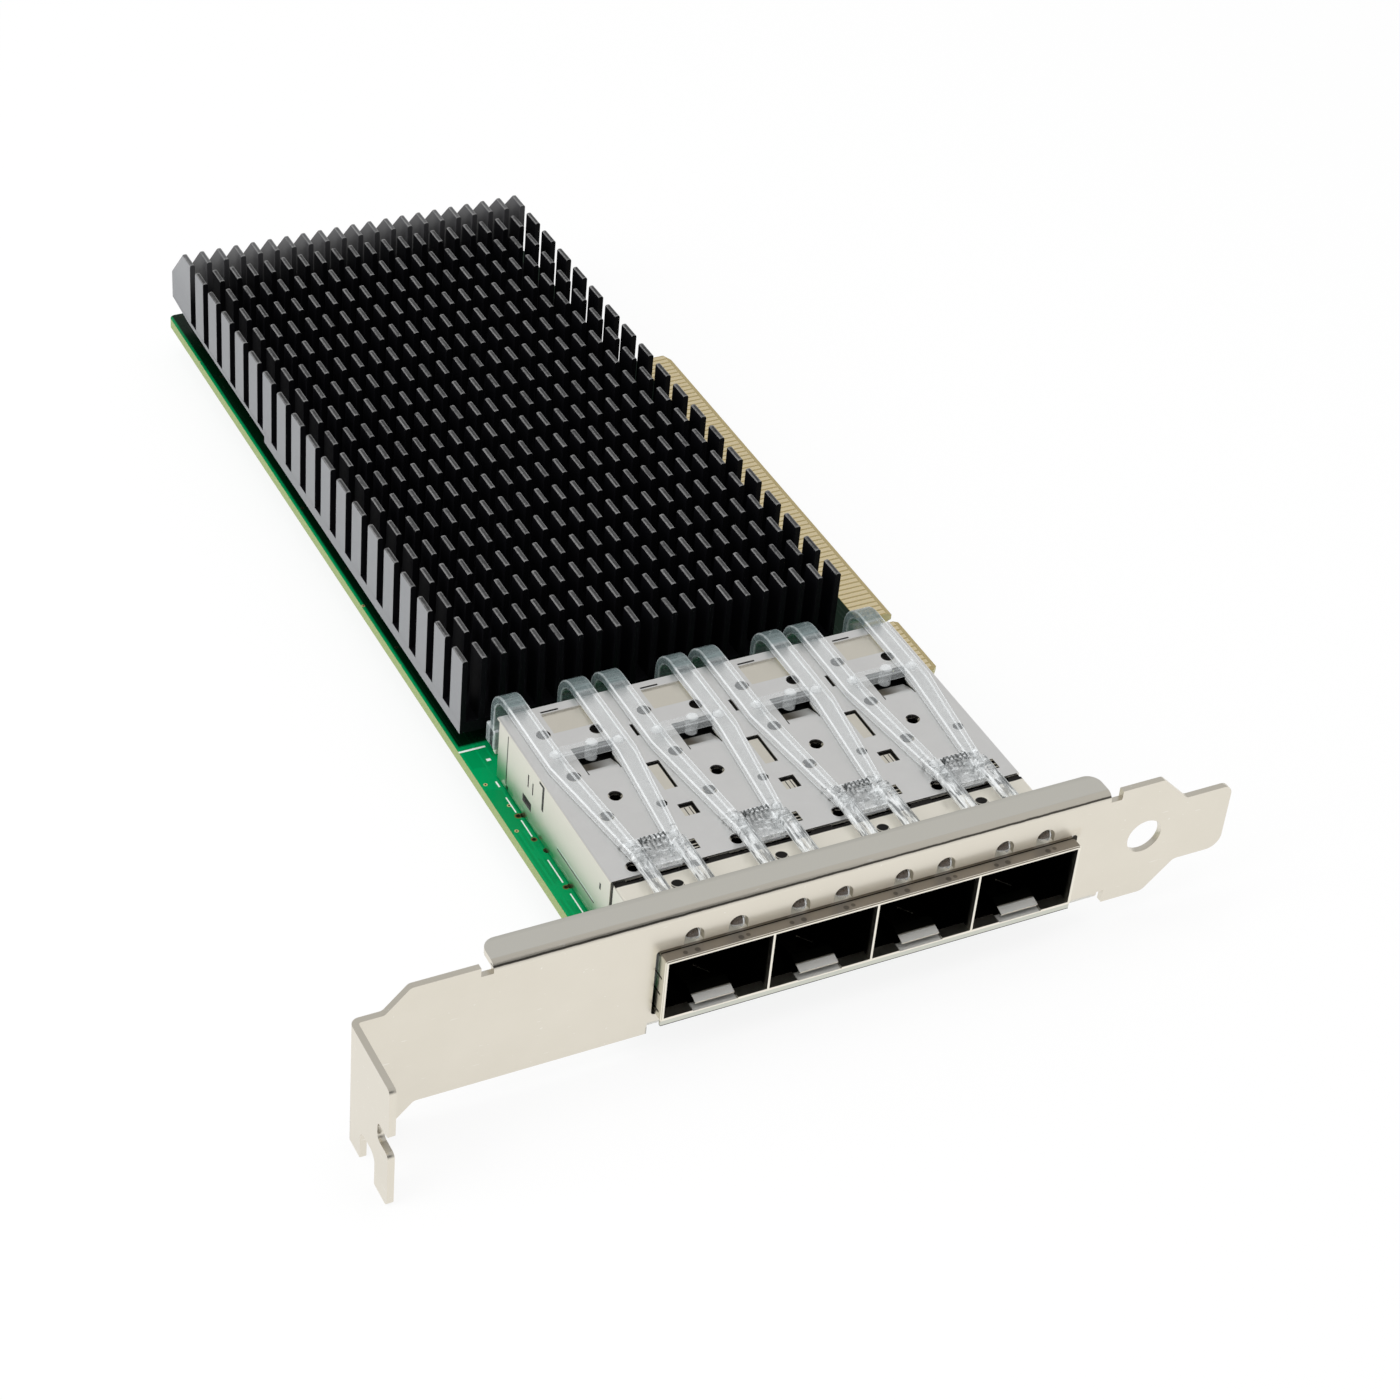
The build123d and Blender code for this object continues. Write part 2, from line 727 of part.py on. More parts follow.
with BuildPart() as board_nuts:
    with BuildSketch(Plane.XY.offset(board_bottom)):
        with Locations(*ear_places):
            RegularPolygon(nut_radius, screw_sides)
            RegularPolygon(screw_radius + fit_gap, screw_sides, mode=Mode.SUBTRACT)
    extrude(amount=board_thickness)
finish(board_nuts, "board_nuts")

# Controller chip: laminate with a chamfered lid, and the soft pad up to the heatsink's base
chip_top = base_front_z - pad_rise
with BuildPart() as controller_chip:
    with BuildSketch():
        with Locations((sink_x, chip_y)):
            Rectangle(chip_size, chip_size)
    extrude(amount=chip_board)
    with BuildSketch(Plane.XY.offset(chip_board)):
        with Locations((sink_x, chip_y)):
            Rectangle(lid_size, lid_size)
        chamfer(vertices(), 0.8)
    extrude(amount=chip_top - chip_board)
    chamfer(faces().sort_by(Axis.Z)[-1].edges(), 0.2)
finish(controller_chip, "controller_chip")

with BuildPart() as thermal_pad:
    with BuildSketch(Plane.XY.offset(chip_top)):
        with Locations((sink_x, chip_y)):
            Rectangle(lid_size - 1, lid_size - 1)
    extrude(amount=pad_rise)
finish(thermal_pad, "thermal_pad")


def block_row(places, length, width, height, name, low=0.0, edge=0.1):
    """A group of like surface-mounted blocks with chamfered tops."""
    with BuildPart() as blocks:
        with BuildSketch(Plane.XY.offset(low)):
            with Locations(*places):
                Rectangle(length, width)
        extrude(amount=height)
        if edge:
            chamfer(edges().group_by(Axis.Z)[-1], edge)
    finish(blocks, name)


# Parts of the power supply and the clock, under the raised rear of the heatsink's base
supply_x = [sink_left + (i + 1) * sink_width / 4 for i in range(3)]
block_row([(x, base_step_y + 8) for x in supply_x], 6.6, 7.0, base_rear_z - 0.2, "inductors", edge=0.5)
block_row([(x, base_step_y + 16) for x in supply_x], 5.0, 6.0, 1.0, "regulators")
block_row([(x, base_step_y + 23) for x in supply_x], 7.3, 4.3, base_rear_z - 0.2, "bulk_capacitors", edge=0.3)
block_row([(supply_x[0], base_step_y + 30)], 5.3, 5.3, 1.8, "flash_chip", edge=0.2)
block_row([(supply_x[2], base_step_y + 30)], 3.2, 2.5, 0.8, "crystal")

with BuildPart() as underside_capacitors:
    with BuildSketch(Plane.XY.offset(board_bottom)):
        with Locations((sink_x, chip_y)):
            with GridLocations(3.4, 3.4, 4, 4):
                Rectangle(1.0, 0.5)
    extrude(amount=-0.5)
finish(underside_capacitors, "underside_capacitors")
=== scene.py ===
import math
import bmesh
import bpy
import numpy as np
from mathutils import Matrix, Vector


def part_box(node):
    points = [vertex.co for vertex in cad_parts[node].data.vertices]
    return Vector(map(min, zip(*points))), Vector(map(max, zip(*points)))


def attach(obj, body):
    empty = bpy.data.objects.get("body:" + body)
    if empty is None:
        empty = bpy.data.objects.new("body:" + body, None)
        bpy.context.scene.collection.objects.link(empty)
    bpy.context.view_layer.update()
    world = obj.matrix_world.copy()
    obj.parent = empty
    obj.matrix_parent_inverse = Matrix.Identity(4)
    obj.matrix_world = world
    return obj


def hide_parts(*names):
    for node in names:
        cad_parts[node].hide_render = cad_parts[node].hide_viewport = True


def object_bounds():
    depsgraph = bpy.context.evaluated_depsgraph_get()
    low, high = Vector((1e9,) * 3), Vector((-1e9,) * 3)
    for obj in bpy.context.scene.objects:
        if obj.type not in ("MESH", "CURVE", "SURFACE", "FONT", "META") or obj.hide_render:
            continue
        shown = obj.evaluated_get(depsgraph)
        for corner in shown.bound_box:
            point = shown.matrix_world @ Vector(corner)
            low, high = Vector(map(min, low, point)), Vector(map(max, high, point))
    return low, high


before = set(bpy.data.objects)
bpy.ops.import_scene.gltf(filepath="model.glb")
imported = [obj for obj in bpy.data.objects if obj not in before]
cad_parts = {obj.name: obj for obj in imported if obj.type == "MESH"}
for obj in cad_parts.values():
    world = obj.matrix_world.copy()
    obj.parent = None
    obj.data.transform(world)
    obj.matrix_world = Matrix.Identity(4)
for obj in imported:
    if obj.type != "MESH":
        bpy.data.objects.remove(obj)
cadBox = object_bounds()
mm = 0.001
print("frame loaded:", len(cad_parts), "nodes")


def low(node):
    return np.array(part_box(node)[0]) / mm


def high(node):
    return np.array(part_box(node)[1]) / mm


# Places that several pieces are worked out from, in millimetres
portMiddle = [(low(f"light_pipe_{number}") + high(f"light_pipe_{number}"))[0] / 2 for number in range(1, 5)]
portStep = (portMiddle[3] - portMiddle[0]) / 3
coverFront = low("cage_cover")[1]
coverTop = high("cage_cover")[2]
collarRear = high("emi_collar")[1]
sinkLow, sinkHigh = low("heatsink"), high("heatsink")


def colour(value):  # three numbers get an opaque fourth, anything else stays as it is
    if isinstance(value, tuple) and len(value) == 3:
        return (*value, 1.0)
    return value


class Wire:
    # One shader socket. Arithmetic on wires adds Math nodes, also in the reflected forms such as 1 - mask.
    def __init__(self, wiring, socket):
        self.wiring = wiring
        self.socket = socket

    def math(self, operation, *others):
        return self.wiring.math(operation, self, *others)

    def __add__(self, other):
        return self.math("ADD", other)

    def __radd__(self, other):
        return self.wiring.math("ADD", other, self)

    def __sub__(self, other):
        return self.math("SUBTRACT", other)

    def __rsub__(self, other):
        return self.wiring.math("SUBTRACT", other, self)

    def __mul__(self, other):
        return self.math("MULTIPLY", other)

    def __rmul__(self, other):
        return self.wiring.math("MULTIPLY", other, self)

    def __truediv__(self, other):
        return self.math("DIVIDE", other)

    def __abs__(self):
        return self.math("ABSOLUTE")

    def fract(self):
        return self.math("FRACT")

    def floor(self):
        return self.math("FLOOR")


class Outlets:
    # The output sockets of a node, by name or number
    def __init__(self, wiring, made):
        self.wiring = wiring
        self.made = made

    def __getitem__(self, key):
        return Wire(self.wiring, self.made.outputs[key])


class Wiring:
    # The nodes of a material or of the world
    def __init__(self, owner):
        owner.use_nodes = True
        self.owner = owner
        self.tree = owner.node_tree
        self.tree.nodes.clear()

    def node(self, kind, settings, sockets):  # a ramp's stops are pairs of a position and a grey
        made = self.tree.nodes.new(kind)
        for name, value in settings.items():
            if name == "stops":
                elements = made.color_ramp.elements
                while len(elements) < len(value):
                    elements.new(0.5)
                for element, (position, grey) in zip(elements, value):
                    element.position = position
                    element.color = (grey, grey, grey, 1)
            else:
                setattr(made, name, value)
        for key, value in sockets.items():
            if isinstance(value, Wire):
                self.tree.links.new(value.socket, made.inputs[key])
            else:
                made.inputs[key].default_value = colour(value) if key in ("Color", "Base Color") else value
        return Outlets(self, made)

    def math(self, operation, *values):
        return self.node("ShaderNodeMath", {"operation": operation}, dict(enumerate(values)))[0]

    def smooth(self, value, start, end):  # 0 at start, 1 at end, eased
        return self.node(
            "ShaderNodeMapRange",
            {"interpolation_type": "SMOOTHSTEP"},
            {"Value": value, "From Min": start, "From Max": end},
        )[0]

    def fall(self, value, start, end):  # 1 at start, 0 at end, eased
        return 1 - self.smooth(value, start, end)


class Paint(Wiring):
    # A material in the making. Its places are Object coordinates in millimetres.
    def __init__(self, name):
        super().__init__(bpy.data.materials.new(name))
        coords = self.node("ShaderNodeTexCoord", {}, {})["Object"]
        scaling = {0: coords, "Scale": 1 / mm}
        self.place = self.node("ShaderNodeVectorMath", {"operation": "SCALE"}, scaling)[0]
        split = self.node("ShaderNodeSeparateXYZ", {}, {0: self.place})
        self.x, self.y, self.z = split["X"], split["Y"], split["Z"]
        normal = self.node("ShaderNodeNewGeometry", {}, {})["True Normal"]
        facing = self.node("ShaderNodeSeparateXYZ", {}, {0: normal})
        self.nx, self.ny, self.nz = facing["X"], facing["Y"], facing["Z"]

    def band(self, value, middle, half, soft):  # 1 near the middle, 0 beyond half
        return self.fall(abs(value - middle), half - soft, half + soft)

    def stretch(self, x, y, z):  # the place scaled along each axis, for grain that runs one way
        return self.node("ShaderNodeVectorMath", {"operation": "MULTIPLY"}, {0: self.place, 1: (x, y, z)})[0]

    def noise(self, scale, detail, place=None):
        return self.node(
            "ShaderNodeTexNoise",
            {},
            {"Vector": place or self.place, "Scale": scale, "Detail": detail, "Roughness": 0.55},
        )["Fac"]

    def chance(self, x, y, dimensions):  # a random number and colour for each whole x and y
        cell = self.node("ShaderNodeCombineXYZ", {}, {"X": x.floor(), "Y": y.floor()})[0]
        return self.node("ShaderNodeTexWhiteNoise", {"noise_dimensions": dimensions}, {"Vector": cell})

    def mix(self, factor, first, second):
        return self.node(
            "ShaderNodeMix", {"data_type": "RGBA"}, {0: factor, 6: colour(first), 7: colour(second)}
        )[2]

    def over(self, tint, *layers):  # lays each mask's colour over what is there
        for mask, shade in layers:
            tint = self.mix(mask, tint, shade)
        return tint

    def clamp(self, value):  # kept between 0 and 1
        return self.math("MINIMUM", self.math("MAXIMUM", value, 0.0), 1.0)

    def block(self, across, along, a, b, halfA, halfB, soft=0.03):  # 1 inside a rectangle of two distances
        return self.band(across, a, halfA, soft) * self.band(along, b, halfB, soft)

    def disc(self, across, along, a, b, radius, soft=0.05):  # 1 inside a circle of two distances
        offA = across - a
        offB = along - b
        return self.fall((offA * offA + offB * offB).math("SQRT"), radius - soft, radius + soft)

    def sideways(self):  # 1 on faces that look left or right
        return self.smooth(abs(self.nx), 0.7, 0.8)

    def acrossPort(self, shift=0.0):  # distance across from the port's middle, or from shift beside it
        cell = (self.x - (portMiddle[0] + shift)) / portStep + 0.5
        return (cell.fract() - 0.5) * portStep

    def attribute(self, name):  # a number that the mesh carries at each point
        return self.node("ShaderNodeAttribute", {"attribute_name": name}, {})["Fac"]

    def bump(self, height, depth):  # depth in millimetres
        return self.node("ShaderNodeBump", {}, {"Height": height, "Distance": depth * mm, "Strength": 1.0})[0]

    def surface(self, **sockets):
        values = {name.replace("_", " "): value for name, value in sockets.items()}
        shader = self.node("ShaderNodeBsdfPrincipled", {}, values)
        self.node("ShaderNodeOutputMaterial", {}, {"Surface": shader[0]})
        return self.owner


def dress(finish, *names):
    for name in names:
        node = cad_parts[name]
        node.data.materials.clear()
        node.data.materials.append(finish)


def newMesh(name, points, faces):  # points in millimetres, faces as rows of point numbers
    mesh = bpy.data.meshes.new(name)
    mesh.from_pydata((np.asarray(points) * mm).tolist(), [], [list(map(int, face)) for face in faces])
    return mesh


def newObject(name, data):
    made = bpy.data.objects.new(name, data)
    bpy.context.scene.collection.objects.link(made)
    return made


class Solid:
    # Points and faces gathered for one piece, with the rim number of each point
    def __init__(self):
        self.points = []
        self.faces = []
        self.rims = []
        self.count = 0

    def add(self, points, faces, rims=None):
        points = np.asarray(points, float).reshape(-1, 3)
        self.faces += [[int(i) + self.count for i in face] for face in faces]
        self.points.append(points)
        self.rims.append(np.zeros(len(points)) if rims is None else np.asarray(rims, float).ravel())
        self.count += len(points)

    def mesh(self, name):
        return newMesh(name, np.concatenate(self.points), self.faces)

    def piece(self, name, finish, slot, smoothAngle):
        mesh = self.mesh(name)
        mesh.materials.append(finish)
        mesh.polygons.foreach_set("use_smooth", np.ones(len(mesh.polygons), bool))
        mesh.set_sharp_from_angle(angle=math.radians(smoothAngle))
        rims = np.concatenate(self.rims).astype(np.float32)
        mesh.attributes.new("rim", "FLOAT", "POINT").data.foreach_set("value", rims)
        mesh.update()
        made = newObject(name, mesh)
        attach(made, "root")
        return made


def gridFaces(rows, columns):
    # Quads of a grid that closes across its columns, with a flat face at each end
    ring = np.arange(columns)
    after = np.roll(ring, -1)
    strip = np.stack([ring, after, after + columns, ring + columns], 1)
    quads = np.concatenate([strip + row * columns for row in range(rows - 1)])
    return quads.tolist() + [ring[::-1].tolist(), (ring + (rows - 1) * columns).tolist()]


def flipped(faces):
    return [face[::-1] for face in faces]


def turned(profile, x, other, count, axis="z"):
    # Surface of revolution: each profile point (radius, level) goes round as radius times cosine and
    # sine, about an upright axis at x and y, or about an axis along y at x and z
    angle = np.arange(count) / count * 2 * math.pi
    radius, level = np.asarray(profile, float).T
    first = x + radius[:, None] * np.cos(angle)
    swing = radius[:, None] * np.sin(angle)
    level = np.repeat(level[:, None], count, 1)
    order = [first, other + swing, level] if axis == "z" else [first, level, other - swing]
    return np.stack(order, 2).reshape(-1, 3), gridFaces(len(profile), count)


# Circuit board: green solder mask over traces, bare laminate at its edges, tan ground between the pads
boardLook = {
    "mask": (0.0003, 0.35, 0.115),
    "maskDeep": (0.0003, 0.26, 0.08),
    "shade": (0.0005, 0.003, 0.0015),
    "laminate": (0.4, 0.45, 0.22),
    "laminateDark": (0.24, 0.33, 0.13),
    "tabEdge": (0.72, 0.68, 0.4),
    "betweenPads": (0.42, 0.34, 0.17),
    "tabStart": 100.0,
    "traceStep": 0.7,
    "traceHalf": 0.22,
    "traceRun": 9.0,
    "viaStep": 5.0,
    "viaRing": (0.5, 0.42, 0.2),
    "viaHole": (0.01, 0.02, 0.01),
    "viaRingEdge": (0.26, 0.3),
    "viaHoleEdge": (0.12, 0.15),
    "ink": (0.85, 0.9, 0.86),
    "inkGap": 0.32,  # from the cage's left wall to the ink line beside it
    "inkHalf": 0.09,
    "inkRuns": ((41.2, 1.6), (36.3, 1.7), (27.5, 2.3), (17.5, 5.5)),  # along, half along
    "inkAtEdge": (1.8, 53.3, 2.0, 0.17),  # from the board's edge, along, half across, half along
    "inkMarks": ((39.6, 50.6, 0.3, 0.24), (38.7, 45.6, 0.12, 0.6)),  # across, along, half across, half along
    "tinned": (0.12, 0.1, 0.03),
    "tinnedHole": (0.01, 0.01, 0.005),
    "tinnedDots": ((38.9, 0.5, 0.3), (34.0, 0.42, 0.26), (24.3, 0.42, 0.26)),  # along, radius, hole radius
    "sinkShade": 0.35,  # how far the dark under the heatsink reaches out at its side
    "bracketShade": (3.0, 4.5),  # where the dark behind the bracket ends
}


def boardFinish():
    look = boardLook
    paint = Paint("solderMask")
    lane = paint.x / look["traceStep"]
    run = paint.chance(lane, paint.y / look["traceRun"], "2D")["Value"]
    trace = paint.band(lane.fract(), 0.5, look["traceHalf"], 0.05) * paint.smooth(run, 0.45, 0.5)
    plane = paint.smooth(paint.noise(0.12, 2), 0.52, 0.56)
    copper = trace.math("MAXIMUM", plane * 0.8)
    mask = paint.mix(copper * 0.5, look["maskDeep"], look["mask"])

    # Plated through holes on a loose grid, each a ring with a dark middle
    step = look["viaStep"]
    cellX, cellY = paint.x / step, paint.y / step
    shifts = paint.node("ShaderNodeSeparateColor", {}, {0: paint.chance(cellX, cellY, "3D")["Color"]})
    offX = (cellX.fract() - 0.2 - 0.6 * shifts["Red"]) * step
    offY = (cellY.fract() - 0.2 - 0.6 * shifts["Green"]) * step
    away = (offX * offX + offY * offY).math("SQRT")
    there = paint.smooth(shifts["Blue"], 0.4, 0.42)
    viaRing = paint.fall(away, *look["viaRingEdge"]) * there
    viaHole = paint.fall(away, *look["viaHoleEdge"]) * there

    # White ink and tinned dots: the cage's outline beside its left wall, and marks behind it
    wallX = low("cage_cover")[0] - look["inkGap"]
    edgeX, edgeY, edgeHalfX, edgeHalfY = look["inkAtEdge"]
    rows = [(low("circuit_board")[0] + edgeX, edgeY, edgeHalfX, edgeHalfY)]
    rows += [(wallX, y, look["inkHalf"], half) for y, half in look["inkRuns"]]
    rows += look["inkMarks"]
    ink = dot = hole = 0.0
    for x, y, halfX, halfY in rows:
        ink = ink + paint.block(paint.x, paint.y, x, y, halfX, halfY)
    for y, radius, holeRadius in look["tinnedDots"]:
        dot = dot + paint.disc(paint.x, paint.y, wallX, y, radius, 0.04)
        hole = hole + paint.disc(paint.x, paint.y, wallX, y, holeRadius, 0.04)
    upper = paint.smooth(paint.nz, 0.6, 0.7)
    ink = paint.clamp(ink) * upper

    # Under the heatsink's edge and behind the bracket the board lies in the dark
    under = paint.smooth(paint.x, sinkLow[0] - look["sinkShade"], sinkLow[0])
    under = under * paint.smooth(paint.y, sinkLow[1] - 0.6, sinkLow[1])
    under = under.math("MAXIMUM", paint.fall(paint.y, *look["bracketShade"]))
    mask = paint.over(
        mask,
        (viaRing, look["viaRing"]),
        (viaHole, look["viaHole"]),
        (ink, look["ink"]),
        (paint.clamp(dot) * upper, look["tinned"]),
        (paint.clamp(hole) * upper, look["tinnedHole"]),
        (under * upper * 0.97, look["shade"]),
    )

    weave = paint.noise(6.0, 2, paint.stretch(1.0, 0.2, 9.0))
    flat = paint.smooth(abs(paint.nz), 0.6, 0.7)
    onTab = paint.smooth(paint.x, look["tabStart"], look["tabStart"] + 0.1)
    laminate = paint.mix(weave, look["laminateDark"], look["laminate"])
    tab = paint.mix(paint.clamp(weave * 0.4 + flat), look["tabEdge"], look["betweenPads"])
    covered = flat * (1 - onTab)
    return paint.surface(
        Base_Color=paint.mix(covered, paint.mix(onTab, laminate, tab), mask),
        Roughness=0.55 - 0.3 * covered + 0.2 * ink,
        Specular_IOR_Level=0.08,
        Normal=paint.bump(copper * covered + ink * 0.6 + viaRing * 0.6, 0.02),
        Coat_Weight=0.03 * covered,
    )


# Gold pads, with wipe marks along the way they plug in
goldLook = {"gold": (0.98, 0.84, 0.54), "worn": (0.92, 0.78, 0.5), "wipe": (0.25, 6.0, 1.0)}


def goldFinish():
    paint = Paint("hardGold")
    wipe = paint.noise(1.0, 4, paint.stretch(*goldLook["wipe"]))
    return paint.surface(
        Base_Color=paint.mix(wipe, goldLook["worn"], goldLook["gold"]),
        Metallic=1.0,
        Roughness=0.2 + 0.2 * wipe,
        Normal=paint.bump(wipe, 0.004),
    )


# Plated sheet: a base colour, faint mottling, fine rolling lines, specks and short scratches, then the
# piece's own marks, mostly painted shade and painted light, each a mask, its colour and how metallic it is
bracketLook = {
    "light": (0.8, 0.755, 0.66),
    "dark": (0.73, 0.685, 0.59),
    "mark": (0.95, 0.93, 0.88),
    "cloudScale": 0.12,
    "grain": (0.3, 8.0, 8.0),
    "specks": 0.5,
    "rough": 0.24,
    "relief": 0.004,
}
coverLook = {
    "light": (0.97, 0.965, 0.95),
    "dark": (0.86, 0.855, 0.84),
    "mark": (1.0, 1.0, 1.0),
    "cloudScale": 0.2,
    "grain": (6.0, 0.4, 6.0),
    "specks": 0.2,
    "rough": 0.3,
    "relief": 0.004,
}
shellLook = {
    "light": (0.93, 0.885, 0.78),
    "dark": (0.82, 0.78, 0.68),
    "mark": (0.98, 0.95, 0.88),
    "cloudScale": 0.25,
    "grain": (6.0, 0.4, 6.0),
    "specks": 0.2,
    "rough": 0.26,
    "relief": 0.003,
}


def sheetFinish(name, look, marks):
    paint = Paint(name)
    cloud = paint.noise(look["cloudScale"], 4)
    grain = paint.noise(1.0, 3, paint.stretch(*look["grain"]))
    speck = paint.smooth(paint.noise(1.6, 1), 0.73, 0.78) * look["specks"]
    scratch = paint.smooth(paint.noise(1.0, 2, paint.stretch(0.35, 0.35, 3.0)), 0.7, 0.74) * look["specks"]
    tint = paint.mix(cloud, look["dark"], look["light"])
    tint = paint.mix((speck + scratch).math("MINIMUM", 1.0), tint, look["mark"])
    metal = 1.0
    for mask, shade, share in marks(paint):
        mask = paint.clamp(mask)
        tint = paint.mix(mask, tint, shade)
        if share < 1:
            metal = metal - mask * (1 - share)
    return paint.surface(
        Base_Color=tint,
        Metallic=metal,
        Roughness=look["rough"] + 0.08 * cloud + 0.06 * grain,
        Normal=paint.bump(grain * 0.5 + cloud * 0.5, look["relief"]),
    )


# Marks on the cage's sheets. Rows of four are across, along, half across and half along, in millimetres;
# on the sides they run along y and z. Discs and dimples give a radius instead of the halves.
# Most marks are painted shade: black in slits, the seam, holes, openings, gaps and the bays, and darker tones
# on the side faces and the collar's lower lip. The flap is painted darker, the ridge gets a painted highlight
# and the latch lip painted light.
cageMarks = {
    "hollow": (0.008, 0.007, 0.006),
    # Painted shade inside the bays, near black
    "inside": (0.02, 0.02, 0.017),
    "sideTone": (0.78, 0.765, 0.68),
    "noseTop": (0.34, 0.3, 0.25),
    "noseBand": (0.9, 0.86, 0.76),
    "latchLip": (0.9, 0.89, 0.85),
    "lowerLip": (0.62, 0.63, 0.56),
    "dimpleTone": (0.06, 0.05, 0.04),
    "flapDark": (0.2, 0.17, 0.13),
    "ridgeTone": (0.95, 0.95, 0.93),
    "ridge": (22.7, 3.42, 5.4, 0.14),
    "flap": (0.9, 20.9, 2.3, 1.6),  # along is from the cover's front
    "tab": (-3.7, 1.25, 1.95),  # a round tab that covers the gap, along from the cover's front
    "topHeight": (9.0, 9.2),  # the sheet's top lies above these heights, and the bays below
    "gapReach": 0.45,
    "gapWave": 0.12,
    # Painted shade on the sides: the seam, the hook's slit and top, two slits, the line under the ridge and a
    # small hole
    "sideSlits": (
        (43.9, 4.6, 0.3, 4.7),
        (32.9, 7.5, 0.28, 2.0),
        (33.45, 9.3, 0.7, 0.22),
        (37.3, 7.0, 0.16, 1.0),
        (35.9, 6.7, 0.14, 0.95),
        (22.7, 3.15, 5.4, 0.1),
        (16.0, 7.0, 0.2, 0.5),
    ),
    # Painted shade in the side's cut-out
    "sideCutOut": ((37.4, 3.2, 1.6, 1.0), (36.7, 2.4, 0.8, 0.7)),
    "betweenPorts": (
        (0.1, 32.0, 1.0, 0.24),
        (0.88, 29.4, 0.16, 2.9),
        (0.4, 23.25, 1.15, 0.3),
        (1.25, 22.3, 0.24, 1.3),
        (0.05, 22.0, 0.06, 0.9),
        (0.7, 22.0, 0.06, 0.9),
        (0.8, 38.7, 0.3, 1.3),
    ),
    "overPort": (
        (-0.7, 46.15, 1.35, 0.22),
        (4.8, 16.65, 0.85, 0.28),
        (4.8, 16.0, 0.85, 0.2),
        (4.8, 15.4, 0.85, 0.22),
    ),
    "discs": (
        (-3.45, 41.9, 0.98),
        (3.45, 40.6, 0.98),
        (-3.3, 33.0, 0.98),
        (0.0, 10.2, 0.85),
        (0.14, 28.05, 0.86),
        (-2.53, 24.85, 0.86),
        (-3.56, 15.25, 0.86),
    ),
    "crescentShift": (0.1, 0.35),
    "crescentRadii": (0.08, -0.06),  # the crescent's outer and inner radius beyond the disc's own
    "dimples": ((-4.5, -0.95, 0.3), (-2.9, -1.0, 0.36), (2.9, -1.0, 0.36), (3.9, -0.9, 0.28)),
}


# Painted shade: dark blocks on the side faces at the given places
def sideMarks(paint, rows):
    dark = 0.0
    for y, z, halfY, halfZ in rows:
        dark = dark + paint.block(paint.y, paint.z, y, z, halfY, halfZ)
    return paint.sideways() * paint.clamp(dark)


def coverMarks(paint):
    look = cageMarks
    port = paint.acrossPort()
    # Painted shade: the side faces get a darker tone
    side = paint.sideways()
    # Painted highlight along the side's ridge, which is not built; its painted shadow line is among the side
    # marks
    ridge = side * paint.block(paint.y, paint.z, *look["ridge"])
    # Painted shade in the flap, darker towards its left
    flapX, flapY, halfX, halfY = look["flap"]
    flap = paint.block(port, paint.y, flapX, coverFront + flapY, halfX, halfY, 0.05)
    flap = flap * paint.fall(paint.z, coverTop - 0.16, coverTop - 0.04) * paint.fall(port, -0.6, 2.6)
    return [
        (side, look["sideTone"], 1.0),
        (ridge, look["ridgeTone"], 1.0),
        (flap, look["flapDark"], 1.0),
        (sideMarks(paint, look["sideSlits"]), look["hollow"], 1.0),
    ]


def topOpeningShade(paint, port):
    # Painted shade in the openings of the cage's top, the round ones with a lit crescent at their rear left
    # as a painted highlight, in the gap at the front and in a line along the bracket's window
    look = cageMarks
    beside = paint.acrossPort(portStep / 2)
    shiftX, shiftY = look["crescentShift"]
    outerRim, innerRim = look["crescentRadii"]
    dark = crescent = 0.0
    for row in look["betweenPorts"]:
        dark = dark + paint.block(beside, paint.y, *row)
    for row in look["overPort"]:
        dark = dark + paint.block(port, paint.y, *row)
    for x, y, radius in look["discs"]:
        dark = dark + paint.disc(port, paint.y, x, y, radius)
        outer = paint.disc(port, paint.y, x + shiftX, y + shiftY, radius + outerRim)
        inner = paint.disc(port, paint.y, x + shiftX, y + shiftY, radius + innerRim)
        crescent = crescent + outer * (1 - inner)
    gapHalf = (coverFront - collarRear + look["gapReach"]) / 2
    wave = look["gapWave"] * (paint.noise(0.5, 1, paint.stretch(1.0, 0.1, 0.1)) - 0.5)
    gap = paint.band(paint.y + wave, coverFront - gapHalf, gapHalf, 0.06)
    tabX, tabY, tabRadius = look["tab"]
    gap = gap * (1 - paint.disc(port, paint.y, tabX, coverFront + tabY, tabRadius))
    slot = paint.band(paint.y, -0.1, 0.1, 0.05)
    return paint.clamp(paint.clamp(dark) - 0.75 * paint.clamp(crescent) + gap + slot)


def bayInsideShade(paint, port):
    # Painted shade: walls, ceiling and floor of the bays, and the slope of each latch tongue, but not the
    # tongue's edges, are painted near black
    middle = (portMiddle[0] + portMiddle[3]) / 2
    within = paint.fall(abs(paint.x - middle), 2 * portStep - 0.15, 2 * portStep - 0.1)
    walls = paint.sideways() * within * paint.fall(paint.z, 9.3, 9.35)
    walls = walls * (1 - paint.block(port, paint.y, 0.0, 3.4, 1.6, 1.6))
    ceiling = paint.fall(paint.nz, -0.8, -0.7)
    floor = paint.smooth(paint.nz, 0.25, 0.35) * paint.smooth(paint.y, -0.15, -0.05)
    floor = floor * paint.fall(paint.z, 4.0, 4.2)
    return paint.clamp((walls + ceiling) * paint.smooth(paint.y, -1.35, -0.6) + floor)


